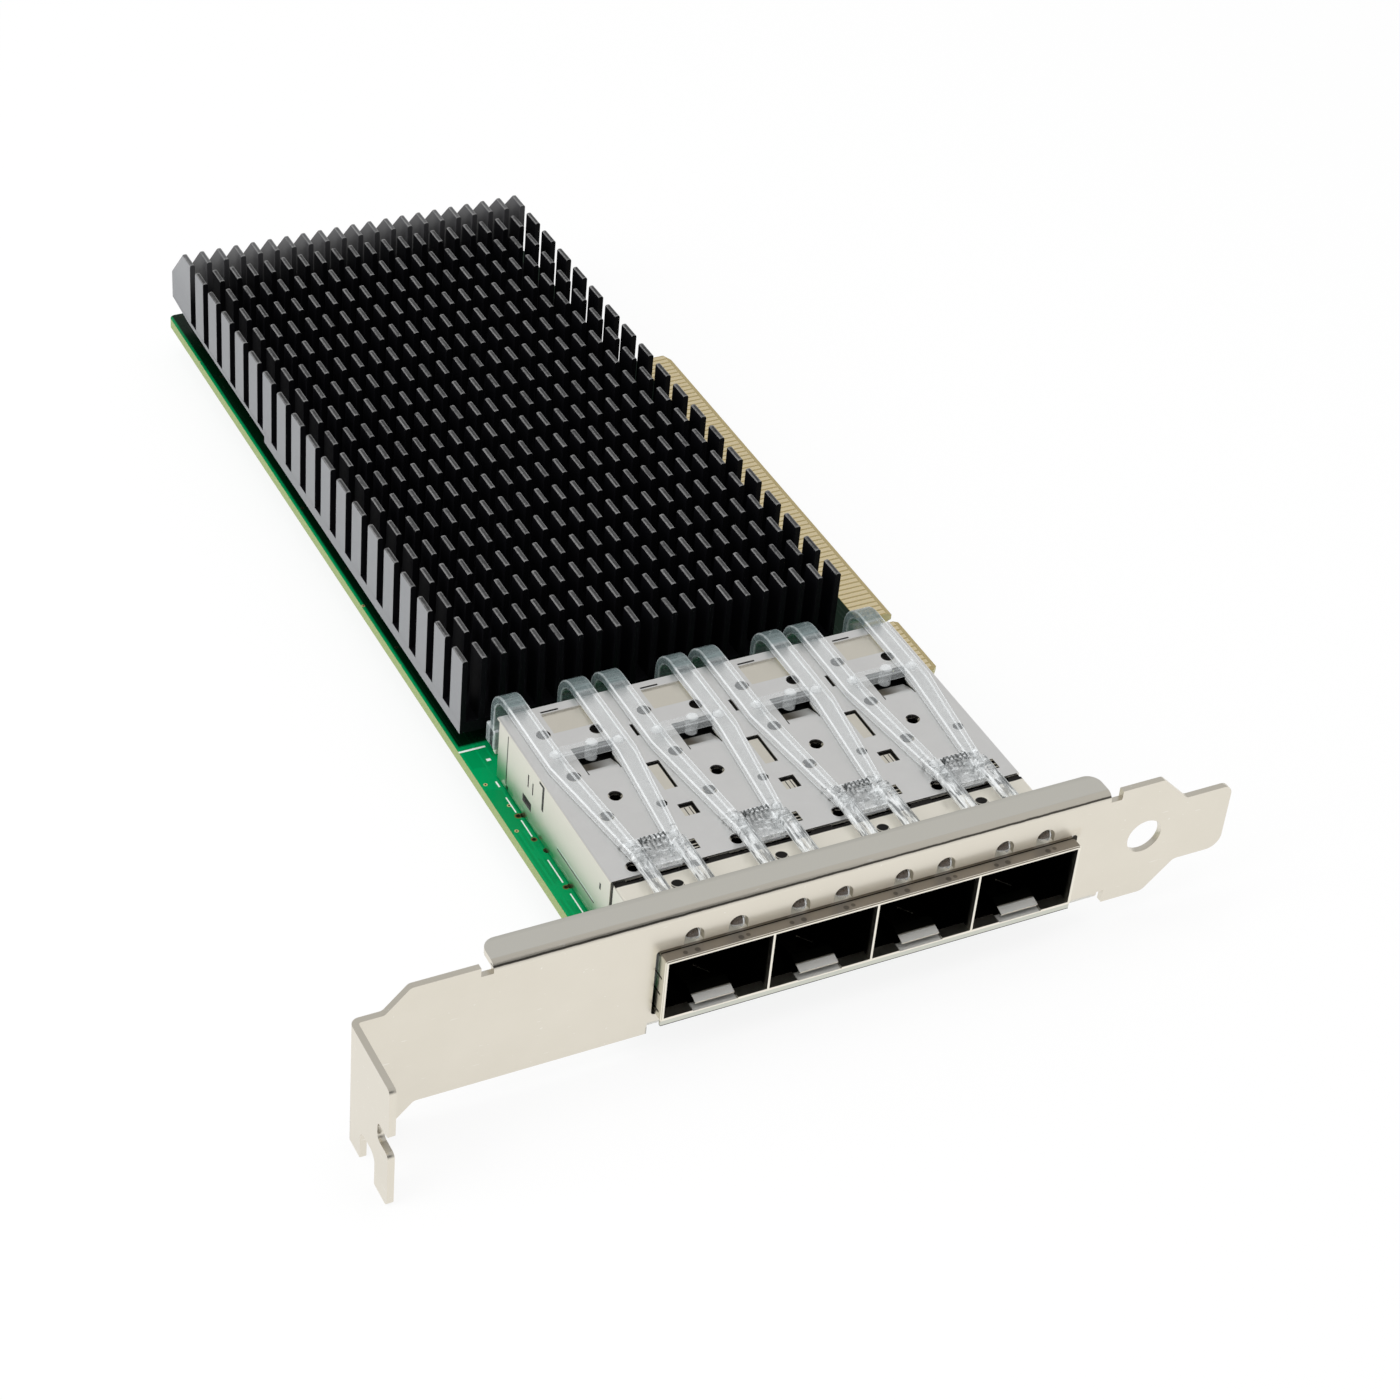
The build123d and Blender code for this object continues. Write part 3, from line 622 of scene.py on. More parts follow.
def shellMarks(paint):
    look = cageMarks
    port = paint.acrossPort()
    # Painted shade: the side faces get a darker tone
    side = paint.sideways()
    topFace = paint.smooth(paint.nz, 0.7, 0.8) * paint.smooth(paint.z, *look["topHeight"])
    # Painted shade on the side faces at the cover's front edge and just behind the bracket
    corner = side * (paint.band(paint.y, coverFront - 0.2, 0.22, 0.03) + paint.band(paint.y, 1.3, 1.2, 0.1))
    # Painted shade in the dimples on the nose top
    dimple = 0.0
    for x, y, radius in look["dimples"]:
        dimple = dimple + paint.disc(port, paint.y, x, y, radius, 0.08)
    nose = topFace * paint.fall(paint.y, 0.3, 0.4)
    noseBand = topFace * paint.fall(paint.y, coverFront, coverFront + 0.1)
    # Painted light: the latch lip is whiter and less metallic
    latchLip = paint.smooth(paint.nz, 0.1, 0.2) * paint.fall(paint.y, -0.3, -0.2)
    latchLip = latchLip * paint.band(port, 0.0, 3.0, 0.1) * paint.fall(paint.z, 3.5, 4.0)
    return [
        (side, look["sideTone"], 1.0),
        (noseBand, look["noseBand"], 0.7),
        (nose, look["noseTop"], 1.0),
        (nose * paint.clamp(dimple) * 0.6, look["dimpleTone"], 1.0),
        (topFace * topOpeningShade(paint, port) + corner, look["hollow"], 1.0),
        (sideMarks(paint, look["sideSlits"] + look["sideCutOut"]), look["hollow"], 1.0),
        (bayInsideShade(paint, port), look["inside"], 1.0),
        (latchLip, look["latchLip"], 0.3),
        # Painted shade: the collar's lower lip gets a darker tone, and a black painted shadow line along its
        # bottom
        (paint.fall(paint.z, -0.05, 0.02), look["lowerLip"], 1.0),
        (paint.fall(paint.z, -0.72, -0.6), look["hollow"], 1.0),
    ]


# Marks on the bracket: an uneven dark line along the top bend, a painted reflection; the lip's flat top and
# the bottom bend, which lie in another light that is painted, with a painted shadow line at the bend's edge;
# and the face over the window, painted lighter as painted light
bracketTones = {
    "lipTop": (0.67, 0.655, 0.59),
    "lipFront": (0.79, 0.77, 0.7),
    "overWindow": (0.8, 0.74, 0.62),
    "lowBend": (0.8, 0.79, 0.72),
    "lowEdge": (0.12, 0.11, 0.09),
    "line": (0.035, 0.03, 0.025),
    "lineMiddle": 59.3,
    "lineHalf": 42.0,
    "lineDrop": 0.5,
    "lowBendEnd": 101.0,
}


def bracketMarks(paint):
    tones = bracketTones
    bracketHigh = high("bracket")
    coverLow, coverHigh = low("cage_cover"), high("cage_cover")
    # Painted dark reflection: an uneven line along the top bend
    wander = paint.noise(1.0, 3, paint.stretch(0.6, 1.0, 0.1))
    lineZ = bracketHigh[2] - tones["lineDrop"] + 0.14 * (wander - 0.5)
    line = paint.band(paint.z - lineZ, 0.0, 0.11, 0.04) * paint.fall(paint.y, 0.9, 1.1)
    line = line * paint.band(paint.x, tones["lineMiddle"], tones["lineHalf"], 0.3)
    lipTop = paint.smooth(paint.nz, 0.9, 0.97) * paint.smooth(paint.y, 1.0, 1.2)
    lipTop = lipTop * paint.smooth(paint.z, 10.0, 11.0)
    streaks = paint.noise(1.0, 3, paint.stretch(0.02, 1.6, 0.1))
    towardsBend = paint.fall(paint.y + 1.4 * (streaks - 0.5), 3.6, 4.6)
    rearEdge = paint.smooth(paint.y, bracketHigh[1] - 0.45, bracketHigh[1] - 0.25)
    besideCage = paint.smooth(paint.x, coverLow[0] - 1.0, coverLow[0] - 0.6)
    lowBend = paint.fall(paint.z, -1.5, -1.3) * besideCage
    lowBend = lowBend * paint.fall(paint.x, tones["lowBendEnd"], tones["lowBendEnd"] + 0.4)
    # Painted shadow line along the bottom edge of the low bend
    lowEdge = paint.fall(paint.z, -2.12, -2.0) * lowBend
    # Painted light: the face over the window lighter and less metallic, over its dark reflection of the nose
    overWindow = paint.band(paint.z, coverHigh[2] + 0.7, 0.75, 0.35) * paint.fall(paint.ny, -0.9, -0.8)
    overWindow = overWindow * besideCage * paint.fall(paint.x, coverHigh[0] + 0.6, coverHigh[0] + 1.0)
    return [
        (lipTop, tones["lipTop"], 1.0),
        (lipTop * paint.clamp(towardsBend + rearEdge), tones["lipFront"], 1.0),
        (overWindow * 0.8, tones["overWindow"], 0.35),
        (lowBend, tones["lowBend"], 0.1),
        (lowEdge, tones["lowEdge"], 1.0),
        (line * 0.9, tones["line"], 1.0),
    ]


# Heatsink: black anodised fins with rounded tops, the outer sides painted grey as a painted reflection
sinkLook = {
    "columns": 21,
    "rows": 19,
    "rowPitch": 5.792,
    "finThickness": 0.8,
    "finLength": 3.49,
    "finRoot": 0.05,  # how deep each fin goes into the base
    "slotFloor": 3.7,
    "roundness": 0.3,
    "arcPoints": 7,
    "slopeStart": 162.3,
    "slopeDrop": 5.5,
    "stepY": 127.0,
    "frontLow": 2.0,
    "rearLow": 3.0,
    "heelStart": 160.0,
    "heelRise": 0.68,  # how far the base's underside rises from there to the rear
    "postRadius": 2.6,
    "postSides": 24,
    "postRoot": 0.4,  # how far under the slots' floor a post ends inside the base
    "postInset": (5.0, 6.0),
    "black": (0.004, 0.004, 0.005),
    # Crown is a painted highlight on the fin tops, slope a painted sheen on the last row
    "crown": (0.2, 0.2, 0.2),
    # Side colours are a painted reflection on the outer faces
    "side": (0.275, 0.28, 0.29),
    "sideDark": (0.22, 0.225, 0.235),
    "slope": (0.1, 0.1, 0.105),
}


def sinkFinish():
    # The crowns get a painted highlight, most at their edges and ends, and the last row's slope a painted
    # sheen
    look = sinkLook
    paint = Paint("blackAnodised")
    line = paint.noise(1.0, 3, paint.stretch(7.0, 0.15, 1.0))
    grit = paint.noise(3.0, 3)
    crown = paint.smooth(paint.nz, 0.3, 0.6) * paint.smooth(paint.z, sinkHigh[2] - 6.5, sinkHigh[2] - 5.5)
    pitch = (sinkHigh[0] - sinkLow[0] - look["finThickness"]) / (look["columns"] - 1)
    cell = (paint.x - (sinkLow[0] + look["finThickness"] / 2)) / pitch + 0.5
    across = abs((cell.fract() - 0.5) * pitch)
    ahead = ((paint.y - sinkLow[1]) / look["rowPitch"]).fract() * look["rowPitch"]
    # Painted highlight on the crowns, strongest at their edges and ends
    crownHighlight = paint.smooth(across, 0.12, 0.24) + paint.fall(ahead, 0.15, 0.4) + paint.smooth(ahead, 3.1, 3.35)
    crownHighlight = 0.28 + 0.72 * paint.clamp(crownHighlight)
    # Painted reflection: the outer left and right faces are painted grey
    left = paint.smooth(-1 * paint.nx, 0.9, 0.95) * paint.fall(paint.x, sinkLow[0] + 0.05, sinkLow[0] + 0.1)
    right = paint.smooth(paint.nx, 0.9, 0.95) * paint.smooth(paint.x, sinkHigh[0] - 0.1, sinkHigh[0] - 0.05)
    lastRow = paint.smooth(paint.y, look["slopeStart"] - 3.6, look["slopeStart"] - 3.4)
    lastRow = lastRow * paint.smooth(paint.z, sinkHigh[2] - 7.5, sinkHigh[2] - 1.0)
    base = paint.over(
        look["black"],
        (lastRow * 0.6, look["slope"]),
        (crown * crownHighlight * paint.smooth(line * 0.6 + grit * 0.4, 0.25, 0.6), look["crown"]),
        (left + right, paint.mix(grit * 0.3, look["side"], look["sideDark"])),
    )
    return paint.surface(
        Base_Color=base,
        Metallic=0.0,
        Roughness=0.4 + 0.15 * grit,
        Specular_IOR_Level=0.05,
        Coat_Weight=0.15 * crown + 0.3 * lastRow,
        Coat_Roughness=0.3,
        Normal=paint.bump(line * crown + grit * 0.3, 0.01),
    )


def finField(solid):
    # Each fin is a prism whose section is a rectangle with a rounded crown. Each upper edge is an arc:
    # across = half the thickness less the roundness, plus roundness times cosine, and up = roundness
    # times (sine minus 1). The last row's crown is lowered along the rear slope.
    look = sinkLook
    half = look["finThickness"] / 2
    angle = np.linspace(0, math.pi, look["arcPoints"])
    across = np.sign(np.cos(angle).round(6)) * (half - look["roundness"]) + look["roundness"] * np.cos(angle)
    up = look["roundness"] * (np.sin(angle) - 1)
    foot = look["slotFloor"] - sinkHigh[2] - look["finRoot"]
    profileX = np.concatenate(([half], across, [-half]))
    profileZ = np.concatenate(([foot], up, [foot]))
    columnX = np.linspace(sinkLow[0] + half, sinkHigh[0] - half, look["columns"])
    for row in range(look["rows"]):
        front = sinkLow[1] + look["rowPitch"] * row
        sections = [(front, 0.0), (front + look["finLength"], 0.0)]
        if row == look["rows"] - 1:
            sections = [(front, 0.0), (look["slopeStart"], 0.0), (sinkHigh[1], look["slopeDrop"])]
        rings = []
        for y, drop in sections:
            z = sinkHigh[2] + profileZ
            z[1:-1] -= drop
            rings.append(np.stack([profileX, np.full(len(profileX), y), z], 1))
        fin = np.concatenate(rings)
        faces = flipped(gridFaces(len(sections), len(profileX)))
        for x in columnX:
            solid.add(fin + (x, 0, 0), faces)


def prismAlongX(outline, x0, x1):
    # A closed prism from an outline of (y, z) points, carried from x0 to x1
    outline = np.asarray(outline, float)
    ends = [np.column_stack([np.full(len(outline), x), outline]) for x in (x0, x1)]
    return np.concatenate(ends), gridFaces(2, len(outline))


def heatsinkPiece(finish):
    look = sinkLook
    solid = Solid()
    finField(solid)
    outline = [
        (sinkLow[1], look["frontLow"]),
        (look["stepY"], look["frontLow"]),
        (look["stepY"], look["rearLow"]),
        (look["heelStart"], look["rearLow"]),
        (sinkHigh[1], look["rearLow"] + look["heelRise"]),
        (sinkHigh[1], look["slotFloor"]),
        (sinkLow[1], look["slotFloor"]),
    ]
    solid.add(*prismAlongX(outline, sinkLow[0], sinkHigh[0]))
    insetX, insetY = look["postInset"]
    post = [(look["postRadius"], 0.0), (look["postRadius"], look["slotFloor"] - look["postRoot"])]
    for x in (sinkLow[0] + insetX, sinkHigh[0] - insetX):
        for y in (sinkLow[1] + insetY, sinkHigh[1] - insetY):
            solid.add(*turned(post, x, y, look["postSides"]))
    sink = solid.piece("heatsinkFins", finish, "black_aluminium", 30)
    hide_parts("heatsink")


# Light pipes: clear bars with rounded edges. The rim attribute is 1 along the edges, where the material
# paints a highlight, and below 0 where it paints a dark line of bent light. Across is from the port's middle.
pipeLook = {
    "armOuter": 6.1,
    "armInner": 3.4,
    "armBend": 34.5,
    "armFront": 15.5,
    "hookY": 51.7,
    "hookRadius": 3.3,
    "hookPoints": 12,
    "footTop": 4.2,
    "footShift": 0.4,
    "footHalf": 1.3,
    "lift": 0.1,  # from the cover's top to the arms
    "thickness": 1.15,
    "edge": 0.15,
    "fineEdge": 0.12,
    "rodOffset": 2.95,
    "rodRadius": 1.0,
    "rodSides": 32,
    "rodTip": ((0.0, 0.0), (0.6, 0.08), (0.9, 0.3), (1.0, 0.7)),  # share of the radius, along from the tip
    "rodEnd": ((1.0, 16.0), (0.0, 16.3)),  # share of the radius, along
    "rodRims": (0.0, 0.3, 0.6, 1.0, 1.0, 0.2),
    "domes": ((4.4, 36.35, 0.8), (2.95, 17.5, 0.65)),  # across, along, radius
    "domeRise": 0.6,
    "domeRims": (0.4, -0.5, 0.2, 0.1, 0.5, 0.9),
    "bridge": (36.7, 0.95),  # along, half along
    "clip": (15.6, 2.7),  # along, half along
    "overlap": 0.25,  # how far the bridge and the clip go into the arms and rods
    "bar": (1.7, 17.3, 0.4, 0.35),  # half across, along, half along, half the height
    "barRise": 0.3,
    "peg": (0.8, 36.7),
    "pegProfile": ((0.6, -1.1), (0.85, -0.9), (0.85, 1.55), (0.6, 1.65)),  # radius, height over the plate
    "pegRims": (0.5, 0.2, 0.2, 0.7),
    "roundSides": 16,
    "body": (0.8, 0.83, 0.84),
    "hook": (0.2, 0.255, 0.26),
    "bright": (0.92, 0.95, 0.96),
    "dark": (0.03, 0.035, 0.035),
    "notch": (0.05, 0.032, 0.02),
    "hookStart": (46.3, 47.4),
    "footLight": (4.6, 5.4),
    "clipLight": (0.0, 16.4, 4.4, 3.0),
    "stripeLight": (0.0, 17.5, 1.8, 0.6),
    "notchDepth": (1.0, 2.0),
    "rodFront": (1.5, 2.5),
    "rodRear": (12.6, 13.6),
}


def clearFinish():
    look = pipeLook
    paint = Paint("clearPlastic")
    attribute = paint.attribute("rim")
    rim = paint.clamp(attribute)
    bentLightLine = paint.clamp(-1 * attribute)
    facing = paint.node("ShaderNodeLayerWeight", {}, {"Blend": 0.35})["Facing"]
    port = paint.acrossPort()
    plate = coverTop + look["lift"]
    mottle = paint.smooth(paint.noise(1.3, 3), 0.55, 0.75)
    hook = paint.smooth(paint.y, *look["hookStart"])
    streak = paint.smooth(paint.noise(1.0, 2, paint.stretch(0.12, 1.5, 1.5)), 0.35, 0.65) * hook
    foot = hook * paint.fall(paint.z, *look["footLight"])

    # Painted bent light on the moulded front clip: dark and bright spots and a dark striped bar
    clip = paint.block(port, paint.y, *look["clipLight"], 0.4) * paint.smooth(paint.z, plate - 0.2, plate)
    spots = paint.noise(1.0, 2, paint.stretch(1.0, 1.5, 1.0))
    clipDark = paint.smooth(spots, 0.56, 0.64) * clip
    clipBright = paint.fall(spots, 0.36, 0.44) * clip
    stripes = paint.band((port * 1.6 + 0.4 * spots).fract(), 0.5, 0.22, 0.06)
    stripes = stripes * paint.block(port, paint.y, *look["stripeLight"], 0.06)

    # The rods end in the bracket's notches, where their upper half is painted brown as painted shade beside a
    # painted highlight line
    rodZ = plate + look["thickness"]
    inNotch = paint.fall(paint.y, *look["notchDepth"])
    rodSide = paint.smooth(port, -0.1, 0.1) * 2 - 1
    rodAcross = port - rodSide * look["rodOffset"]
    glint = paint.band(rodAcross, look["rodRadius"] * 0.62, 0.13, 0.08) * inNotch
    notch = inNotch * paint.smooth(paint.z, rodZ - 0.25, rodZ + 0.15) * (1 - glint)

    # Along the rods run painted dark and bright threads of bent light
    rodPart = paint.smooth(paint.y, *look["rodFront"]) * paint.fall(paint.y, *look["rodRear"])
    rodPart = rodPart * paint.smooth(paint.z, plate + 0.5, plate + 0.8)
    thread = paint.noise(1.0, 2, paint.stretch(2.6, 0.3, 2.6))
    threadDark = paint.smooth(thread, 0.53, 0.59) * rodPart
    threadBright = paint.fall(thread, 0.4, 0.46) * rodPart

    # The highlight gathers painted highlights on rims, clip, foot, threads and the notch's glint, with some
    # mottling; the dark gathers painted dark lines of bent light
    dark = paint.clamp(bentLightLine + clipDark * 0.7 + stripes + 0.8 * threadDark)
    bright = rim * (1 - 0.75 * hook) + 0.35 * mottle * (1 - hook) + 0.8 * clipBright + 0.25 * foot
    bright = paint.clamp(bright + glint + threadBright)
    tint = paint.over(
        look["body"],
        (hook, look["hook"]),
        (bright, look["bright"]),
        (dark, look["dark"]),
        (notch, look["notch"]),
    )
    cover = 0.13 + 0.45 * rim * (1 - 0.7 * hook) + 0.2 * facing * facing + 0.08 * mottle + 0.3 * clipBright
    cover = cover + 0.36 * hook + 0.22 * streak + 0.2 * foot + 0.55 * dark + 0.35 * threadBright
    cover = cover * (1 - 0.8 * inNotch) + 0.9 * notch + 0.8 * glint
    return paint.surface(
        Base_Color=tint,
        Roughness=0.06 + 0.1 * mottle,
        Alpha=paint.clamp(cover),
        Normal=paint.bump(mottle + streak + 0.4 * spots * clip, 0.03),
        Coat_Weight=0.5 * (1 - inNotch),
    )


def roundedSection(edge, points=4, plain=0.12):
    # A rectangle with rounded edges, corner by corner: which side each point is on, how far it draws in
    # (edge times 1 minus cosine and 1 minus sine), and its rim number, with a plain point at each side
    sides, pulls, rims = [], [], []
    for corner, (sideX, sideZ) in enumerate(((1, 1), (-1, 1), (-1, -1), (1, -1))):
        angle = np.linspace(0, math.pi / 2, points)
        pull = np.stack([edge * (1 - np.cos(angle)), edge * (1 - np.sin(angle))], 1)
        pull = np.concatenate([[(0.0, edge + plain)], pull, [(edge + plain, 0.0)]])
        sides.append(np.tile((sideX, sideZ), (points + 2, 1)))
        pulls.append(pull[::-1] if corner % 2 else pull)
        rims.append(np.concatenate([[0.0], np.ones(points), [0.0]]))
    return np.concatenate(sides), np.concatenate(pulls), np.concatenate(rims)


def roundedBar(solid, centre, across, up, halfWidth, halfThick, edge=pipeLook["edge"], rimShare=1.0):
    # A bar along a path: each section is a rectangle with rounded edges, laid out on the across and up
    # directions of that place, and over three short sections each end draws in to a rounded edge
    centre, across, up = (np.asarray(v, float) for v in (centre, across, up))
    count = len(centre)
    across, up = np.broadcast_to(across, (count, 3)), np.broadcast_to(up, (count, 3))
    halfWidth, halfThick = (np.broadcast_to(v, count).astype(float) for v in (halfWidth, halfThick))
    along = np.cross(across, up)
    along = along / np.linalg.norm(along, axis=1)[:, None]
    heading = np.gradient(centre, axis=0) if count > 2 else np.repeat([centre[-1] - centre[0]], count, 0)
    along = along * np.sign((along * heading).sum(1))[:, None]
    turn = np.linspace(0, math.pi / 2, 3)
    steps = len(turn)
    draw = np.concatenate([edge * (1 - np.sin(turn)), np.zeros(count), edge * (1 - np.sin(turn[::-1]))])
    push = edge * (1 - np.cos(turn))
    first = centre[0] + along[0] * push[:, None]
    last = centre[-1] - along[-1] * push[::-1, None]
    inner = centre.copy()
    inner[0] = first[-1]
    inner[-1] = last[0]

    def spread(values):
        return np.concatenate([np.repeat(values[:1], steps, 0), values, np.repeat(values[-1:], steps, 0)])

    middle = np.concatenate([first, inner, last])
    across, up, halfWidth, halfThick = (spread(v) for v in (across, up, halfWidth, halfThick))
    sides, pulls, rims = roundedSection(edge)
    offX = sides[:, 0] * (halfWidth[:, None] - draw[:, None] - pulls[:, 0])
    offZ = sides[:, 1] * (halfThick[:, None] - draw[:, None] - pulls[:, 1])
    points = middle[:, None] + offX[..., None] * across[:, None] + offZ[..., None] * up[:, None]
    rim = np.tile(rims, (len(middle), 1))
    rim[:steps] = 1.0
    rim[-steps:] = 1.0
    faces = gridFaces(len(middle), len(rims))
    inwards = np.dot(np.cross(across[0], up[0]), along[0]) < 0
    solid.add(points, flipped(faces) if inwards else faces, rim * rimShare)


def pipeArm(solid, x0, side, level, foot, frontMiddle, frontHalf):
    # One arm: straight from its narrow front to the bend, back along the cover, round a quarter circle
    # with y = radius times sine and z = radius times cosine of the sweep, and down to its foot
    look = pipeLook
    middleX = (look["armOuter"] + look["armInner"]) / 2
    halfArm = (look["armOuter"] - look["armInner"]) / 2
    half = look["thickness"] / 2
    sweep = np.linspace(0, math.pi / 2, look["hookPoints"])
    arcY = look["hookY"] - look["hookRadius"] * (1 - np.sin(sweep))
    arcZ = level - look["hookRadius"] * (1 - np.cos(sweep))
    pathY = np.concatenate([[look["armFront"], look["armBend"]], arcY, [look["hookY"]]])
    pathZ = np.concatenate([[level, level], arcZ, [foot]])
    tilt = np.concatenate([[0, 0], sweep, [math.pi / 2]])
    pathX = x0 + side * np.full(len(pathY), middleX)
    pathX[0] = x0 + side * frontMiddle
    width = np.full(len(pathY), halfArm)
    width[0] = frontHalf
    centre = np.stack([pathX, pathY, pathZ], 1)
    up = np.stack([0 * tilt, np.sin(tilt), np.cos(tilt)], 1)
    roundedBar(solid, centre, (1, 0, 0), up, width, half)
    footX, footY = x0 + side * middleX, look["hookY"] + look["footShift"]
    footPath = [(footX, footY, foot), (footX, footY, look["footTop"])]
    roundedBar(solid, footPath, (1, 0, 0), (0, 1, 0), halfArm, look["footHalf"])


def pipeRod(solid, rodX, rodZ, tip):
    # A round rod with a softened tip. Its rim number goes round with the cosine: a painted highlight at the
    # sides, and a thin painted dark line where the cosine is near 0.38.
    look = pipeLook
    radius, count = look["rodRadius"], look["rodSides"]
    profile = [(radius * share, tip + y) for share, y in look["rodTip"]]
    profile += [(radius * share, y) for share, y in look["rodEnd"]]
    cosine = np.cos(np.arange(count) / count * 2 * math.pi)
    glint = np.where(abs(cosine) > 0.8, 0.9, 0.1) - np.where(abs(cosine - 0.38) < 0.1, 1.0, 0.0)
    points, faces = turned(profile, rodX, rodZ, count, "y")
    solid.add(points, faces, np.outer(look["rodRims"], glint))


def pipeDome(solid, x, y, z, radius):
    # A low dome: radius times cosine across and its rise times sine up, closed by a tiny flat top
    look = pipeLook
    turn = np.linspace(0, math.pi / 2, 5)
    rise = look["domeRise"]
    profile = [(radius, z - 0.05)] + [(radius * math.cos(a), z + rise * math.sin(a)) for a in turn]
    profile[-1] = (0.01, z + rise)
    points, faces = turned(profile, x, y, look["roundSides"])
    solid.add(points, faces, np.repeat(look["domeRims"], look["roundSides"]))


def lightPipe(number, finish):
    look = pipeLook
    node = f"light_pipe_{number}"
    pipeLow, pipeHigh = low(node), high(node)
    x0 = (pipeLow[0] + pipeHigh[0]) / 2
    plate = coverTop + look["lift"]
    half = look["thickness"] / 2
    level = plate + half
    rodZ = plate + look["thickness"]
    rodOuter = look["rodOffset"] + look["rodRadius"] * 0.6
    rodInner = look["rodOffset"] - look["rodRadius"] * 1.2
    solid = Solid()
    for side in (-1, 1):
        pipeArm(solid, x0, side, level, pipeLow[2], (rodOuter + rodInner) / 2, (rodOuter - rodInner) / 2)
        pipeRod(solid, x0 + side * look["rodOffset"], rodZ, pipeLow[1])
        for domeX, domeY, radius in look["domes"]:
            pipeDome(solid, x0 + side * domeX, domeY, rodZ, radius)

    def crossBar(reach, y, z, halfY, halfZ, rimShare):
        ends = [(x0 - reach, y, z), (x0 + reach, y, z)]
        roundedBar(solid, ends, (0, 1, 0), (0, 0, 1), halfY, halfZ, look["fineEdge"], rimShare)

    crossBar(look["armInner"] + look["overlap"], look["bridge"][0], level, look["bridge"][1], half, 0.35)
    crossBar(rodInner + look["overlap"], look["clip"][0], level, look["clip"][1], half, 0.5)
    barReach, barY, barHalfY, barHalfZ = look["bar"]
    crossBar(barReach, barY, rodZ + look["barRise"], barHalfY, barHalfZ, 1.0)
    pegX, pegY = look["peg"]
    profile = [(radius, plate + height) for radius, height in look["pegProfile"]]
    points, faces = turned(profile, x0 + pegX, pegY, look["roundSides"])
    solid.add(points, faces, np.repeat(look["pegRims"], look["roundSides"]))
    pipe = solid.piece(f"lightPipe{number}", finish, "clear_plastic", 40)
    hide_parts(node)


# Lower lip of the spring collar, folded down in front of the bracket
lipLook = {"height": 0.86, "thickness": 0.44, "edge": 0.06, "inset": 0.1, "overlap": 0.05}


def collarLip(finish):
    # A bar with rounded edges across the cage's nose, hung from the collar's bottom
    look = lipLook
    collarLow, collarHigh = low("emi_collar"), high("emi_collar")
    halfY, halfZ = look["thickness"] / 2, look["height"] / 2
    y = collarLow[1] + halfY
    z = collarLow[2] + look["overlap"] - halfZ
    ends = [(collarLow[0] + look["inset"], y, z), (collarHigh[0] - look["inset"], y, z)]
    solid = Solid()
    roundedBar(solid, ends, (0, 1, 0), (0, 0, 1), halfY, halfZ, look["edge"], 0.0)
    solid.piece("collarLip", finish, "shell_metal", 30)


# Cage cover and bracket: their own sheets, merged, with edges broken by a small bevel. The cover's
# punched holes are opened to the size that the photograph shows.
sheetWork = {
    "holes": ((-3.45, 28.5), (3.45, 27.2), (-3.3, 19.6), (0.0, 14.4), (-2.67, 11.2), (-3.7, 1.6)),
    "holeRadius": 0.95,
    "holeSides": 28,
    "punchHeights": (-0.27, 0.4),  # from the cover's top
    "bevel": 0.06,
}


def holePunches():
    # Upright cylinders at the punched holes: radius times cosine and sine of the angle, at two heights
    look = sheetWork
    profile = [(look["holeRadius"], coverTop + height) for height in look["punchHeights"]]
    solid = Solid()
    for middle in portMiddle:
        for offX, offY in look["holes"]:
            solid.add(*turned(profile, middle + offX, coverFront + offY, look["holeSides"]))
    return newObject("punches", solid.mesh("punches"))


def sheetPiece(node, name, finish, punches=None):
    # The node's own mesh with its doubles merged and its flat faces joined, punched if asked, then bevelled
    work = bmesh.new()
    work.from_mesh(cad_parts[node].data)
    bmesh.ops.remove_doubles(work, verts=work.verts, dist=1e-7)
    bmesh.ops.dissolve_limit(work, angle_limit=math.radians(1), verts=work.verts, edges=work.edges)
    mesh = bpy.data.meshes.new(name)
    work.to_mesh(mesh)
    work.free()
    mesh.materials.clear()
    mesh.materials.append(finish)
    piece = newObject(name, mesh)
    if punches:
        cut = piece.modifiers.new("punch", "BOOLEAN")
        cut.object = punches
        cut.operation = "DIFFERENCE"
        cut.solver = "EXACT"
        bpy.context.view_layer.update()
        ready = piece.evaluated_get(bpy.context.evaluated_depsgraph_get())
        piece.modifiers.clear()
        piece.data = bpy.data.meshes.new_from_object(ready)
        bpy.data.objects.remove(punches)
    bevel = piece.modifiers.new("brokenEdges", "BEVEL")
    bevel.width = sheetWork["bevel"] * mm
    bevel.segments = 2
    bevel.limit_method = "ANGLE"
    bevel.angle_limit = math.radians(40)
    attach(piece, "root")
    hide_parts(node)


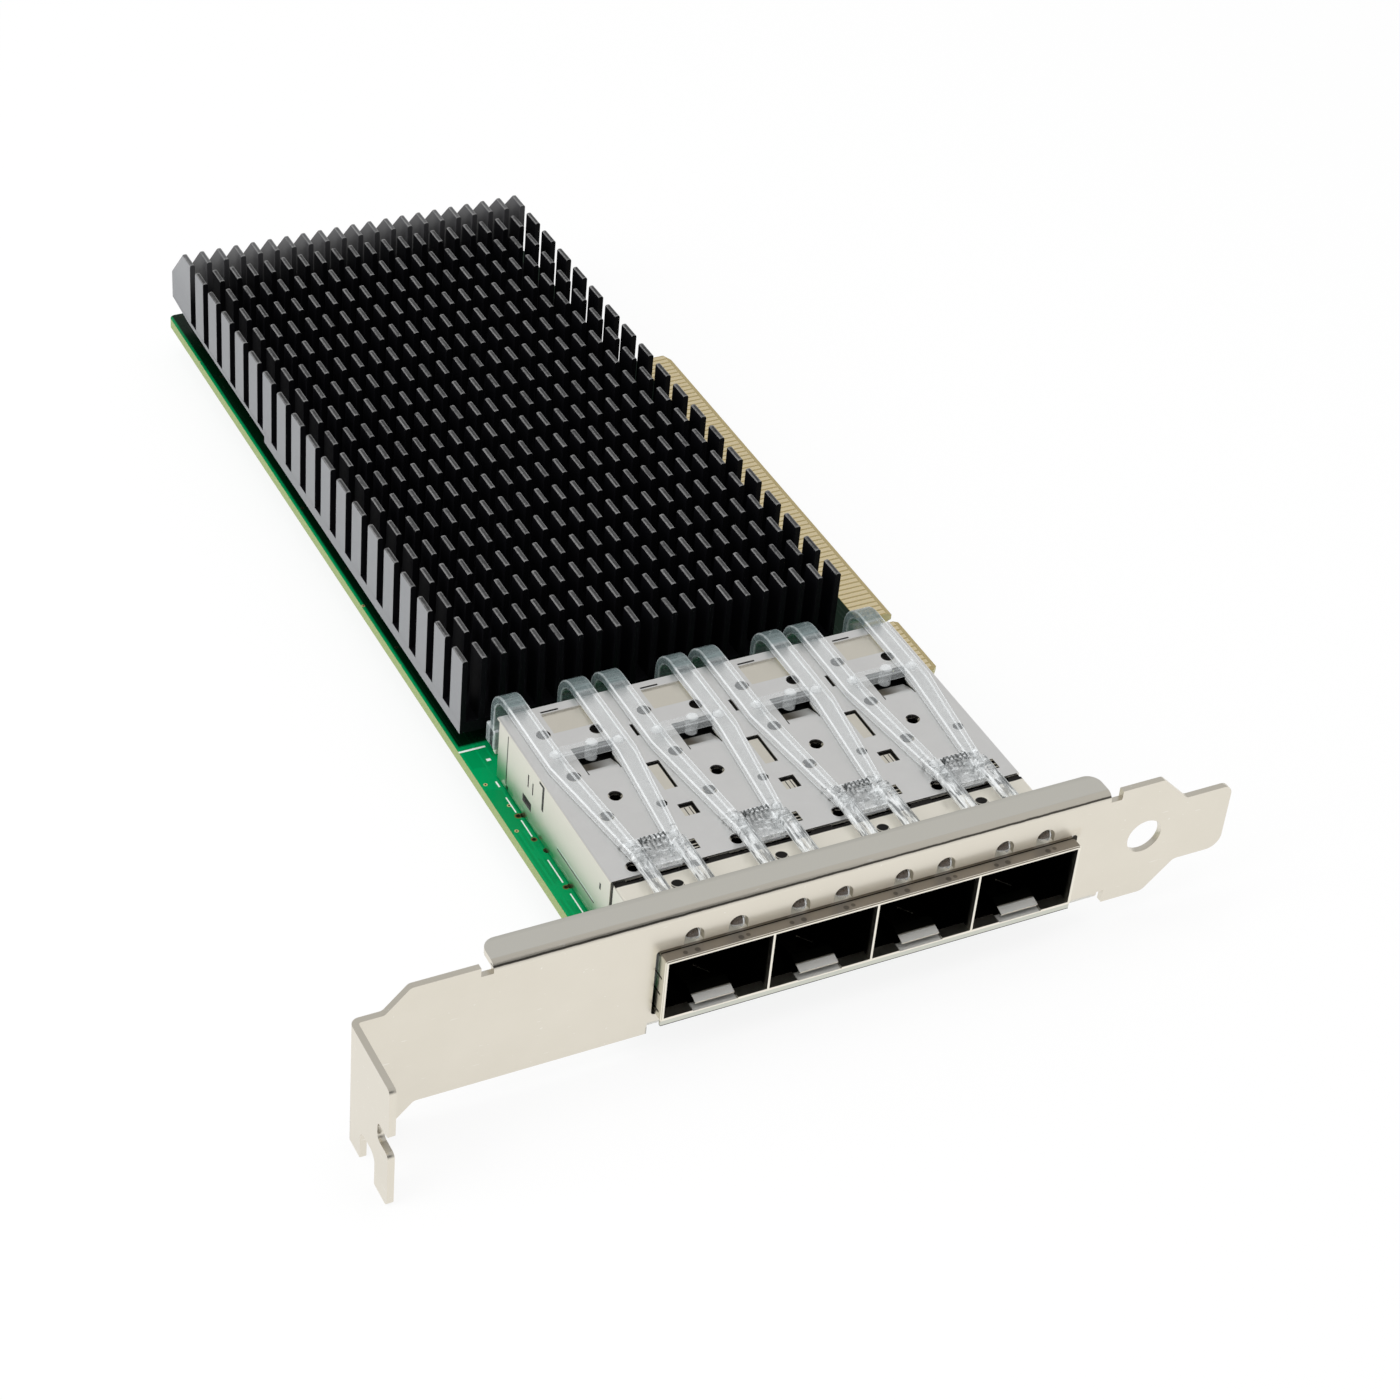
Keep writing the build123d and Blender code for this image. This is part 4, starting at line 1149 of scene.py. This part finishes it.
# Nodes that keep their own mesh and have a finish with nothing but mottling: the nodes, two colours, the
# mottling's scale, the roughness and how metallic it is
connectorNodes = tuple(f"port_connector_{number}" for number in range(1, 5))
ceramicNodes = ("led_resistors", "underside_capacitors", "inductors", "bulk_capacitors")
packageNodes = ("controller_chip", "regulators", "flash_chip")
screwNodes = ("heatsink_screws", "bracket_screws")
mottledLook = {
    "blackMoulding": (connectorNodes, (0.01, 0.01, 0.01), (0.02, 0.02, 0.02), 2.0, 0.45, 0.0),
    "chipPackage": (packageNodes, (0.02, 0.02, 0.022), (0.035, 0.035, 0.035), 3.0, 0.5, 0.0),
    "lampResin": (("status_leds",), (0.75, 0.76, 0.66), (0.85, 0.86, 0.8), 2.0, 0.25, 0.0),
    "firedCeramic": (ceramicNodes, (0.3, 0.22, 0.15), (0.4, 0.31, 0.22), 3.0, 0.4, 0.0),
    "platedScrew": (screwNodes, (0.62, 0.62, 0.63), (0.75, 0.75, 0.76), 1.5, 0.22, 1.0),
    "tinnedBrass": (("board_nuts",), (0.7, 0.62, 0.42), (0.8, 0.74, 0.55), 1.5, 0.3, 1.0),
    "softPad": (("thermal_pad",), (0.4, 0.42, 0.46), (0.5, 0.52, 0.55), 1.0, 0.8, 0.0),
    "brightLid": (("crystal",), (0.7, 0.7, 0.68), (0.8, 0.8, 0.78), 2.0, 0.25, 1.0),
}


def mottledFinish(name, first, second, scale, rough, metal):
    paint = Paint(name)
    cloud = paint.noise(scale, 4)
    return paint.surface(
        Base_Color=paint.mix(cloud, first, second),
        Metallic=metal,
        Roughness=rough + 0.1 * cloud,
        Normal=paint.bump(cloud, 0.005),
    )


bracketPaint = sheetFinish("nickelPlate", bracketLook, bracketMarks)
coverPaint = sheetFinish("coverSteel", coverLook, coverMarks)
shellPaint = sheetFinish("cageSheet", shellLook, shellMarks)
sinkPaint = sinkFinish()
clearPaint = clearFinish()
dress(boardFinish(), "circuit_board")
dress(goldFinish(), "edge_contacts_top", "edge_contacts_bottom")
dress(bracketPaint, "bracket")
dress(coverPaint, "cage_cover")
dress(shellPaint, "cage_shell", "cage_floor", "cage_back", "emi_collar")
dress(shellPaint, "cage_divider_1", "cage_divider_2", "cage_divider_3")
dress(clearPaint, "light_pipe_1", "light_pipe_2", "light_pipe_3", "light_pipe_4")
dress(sinkPaint, "heatsink")
for name, (nodes, *settings) in mottledLook.items():
    dress(mottledFinish(name, *settings), *nodes)
print("materials made")

heatsinkPiece(sinkPaint)
print("heatsink made")
for number in range(1, 5):
    lightPipe(number, clearPaint)
print("light pipes made")
collarLip(shellPaint)
print("collar lip made")
sheetPiece("cage_cover", "coverSheet", coverPaint, holePunches())
sheetPiece("bracket", "bracketSheet", bracketPaint)
print("cover and bracket made")

# Floor, world and lamps: plain, pale and soft. The world's grey goes from the ground up, and one soft
# dark patch in it gives the metal something to mirror.
stageLook = {
    "floorHalf": 3.0,
    "floorGap": 0.02,
    "floorGrey": (0.9, 0.9, 0.9),
    "floorShare": 0.88,
    "white": (1.0, 1.0, 1.0),
    "worldLight": 0.75,
    "worldGreys": ((0.0, 0.95), (0.12, 0.85), (0.35, 0.7), (0.62, 0.82), (1.0, 0.72)),
    "darkSide": (0.12, -0.75, 0.65),
    "darkEdge": (0.92, 0.975),  # cosine of the angle to the dark side, at the patch's rim and inside it
    "darkLevel": 0.12,
    "lamps": {
        "topLamp": ((0.05, 0.1, 0.9), (0.8, 0.8)),
        "leftLamp": ((-0.7, 0.0, 0.5), (0.5, 0.7)),
    },
    "lampPower": 4.0,
}


def floorPiece():
    look = stageLook
    half = look["floorHalf"] / mm
    z = cadBox[0][2] / mm - look["floorGap"]
    paint = Paint("paleFloor")
    paths = paint.node("ShaderNodeLightPath", {}, {})
    seen = paths["Is Camera Ray"].math("MAXIMUM", paths["Is Glossy Ray"])
    seen = seen.math("MAXIMUM", paths["Is Transmission Ray"])
    matte = paint.node("ShaderNodeBsdfDiffuse", {}, {"Color": look["floorGrey"]})
    glow = paint.node("ShaderNodeEmission", {}, {"Color": look["white"], "Strength": 1.0})
    both = paint.node("ShaderNodeMixShader", {}, {0: seen * look["floorShare"], 1: matte[0], 2: glow[0]})
    paint.node("ShaderNodeOutputMaterial", {}, {"Surface": both[0]})
    corners = [(-half, -half, z), (half, -half, z), (half, half, z), (-half, half, z)]
    mesh = newMesh("paleFloor", corners, [[0, 1, 2, 3]])
    mesh.materials.append(paint.owner)
    floor = newObject("paleFloor", mesh)


def paleWorld():
    look = stageLook
    world = bpy.data.worlds.new("paleRoom")
    bpy.context.scene.world = world
    wiring = Wiring(world)
    way = wiring.node("ShaderNodeTexCoord", {}, {})["Generated"]
    upward = wiring.node("ShaderNodeSeparateXYZ", {}, {0: way})["Z"]
    grey = wiring.node("ShaderNodeValToRGB", {"stops": look["worldGreys"]}, {0: upward})["Color"]
    dot = wiring.node("ShaderNodeVectorMath", {"operation": "DOT_PRODUCT"}, {0: way, 1: look["darkSide"]})
    level = 1 - (1 - look["darkLevel"]) * wiring.smooth(dot["Value"], *look["darkEdge"])
    room = wiring.node("ShaderNodeBackground", {}, {"Color": grey, "Strength": level * look["worldLight"]})
    white = wiring.node("ShaderNodeBackground", {}, {"Color": look["white"], "Strength": 1.0})
    seen = wiring.node("ShaderNodeLightPath", {}, {})["Is Camera Ray"]
    both = wiring.node("ShaderNodeMixShader", {}, {0: seen, 1: room[0], 2: white[0]})
    wiring.node("ShaderNodeOutputWorld", {}, {"Surface": both[0]})


def areaLamps():
    aim = Vector(((cadBox[0][0] + cadBox[1][0]) / 2, (cadBox[0][1] + cadBox[1][1]) / 2, 0))
    for name, (place, size) in stageLook["lamps"].items():
        lamp = bpy.data.lights.new(name, "AREA")
        lamp.shape = "RECTANGLE"
        lamp.size, lamp.size_y = size
        lamp.energy = stageLook["lampPower"]
        holder = newObject(name, lamp)
        holder.location = place
        holder.rotation_euler = (aim - Vector(place)).to_track_quat("-Z", "Y").to_euler()
        holder.visible_glossy = False


# The place in millimetres, aim and lens that the photograph's perspective gives
photoView = {
    "place": (-98.77, -238.98, 265.52),
    "forward": (0.36751, 0.69189, -0.62148),
    "right": (0.90317, -0.42493, 0.06101),
    "picture": 1400,
    "focus": 3185.8,  # focal length in the photograph's pixels
    "middle": (597.9, 701.1),
}


def photoCamera():
    view = photoView
    forward = Vector(view["forward"]).normalized()
    up = Vector(view["right"]).normalized().cross(forward).normalized()
    right = forward.cross(up).normalized()
    lens = bpy.data.cameras.new("photoCamera")
    lens.sensor_width = 36.0
    lens.lens = view["focus"] / view["picture"] * lens.sensor_width
    lens.shift_x = 0.5 - view["middle"][0] / view["picture"]
    lens.shift_y = view["middle"][1] / view["picture"] - 0.5
    lens.clip_start = 0.01
    lens.clip_end = 20.0
    camera = newObject("photoCamera", lens)
    turn = Matrix((right, up, -forward)).transposed().to_4x4()
    camera.matrix_world = Matrix.Translation(Vector(view["place"]) * mm) @ turn
    bpy.context.scene.camera = camera


floorPiece()
paleWorld()
areaLamps()
photoCamera()
bpy.context.scene.view_settings.view_transform = "Standard"
print("stage, lamps and camera made")
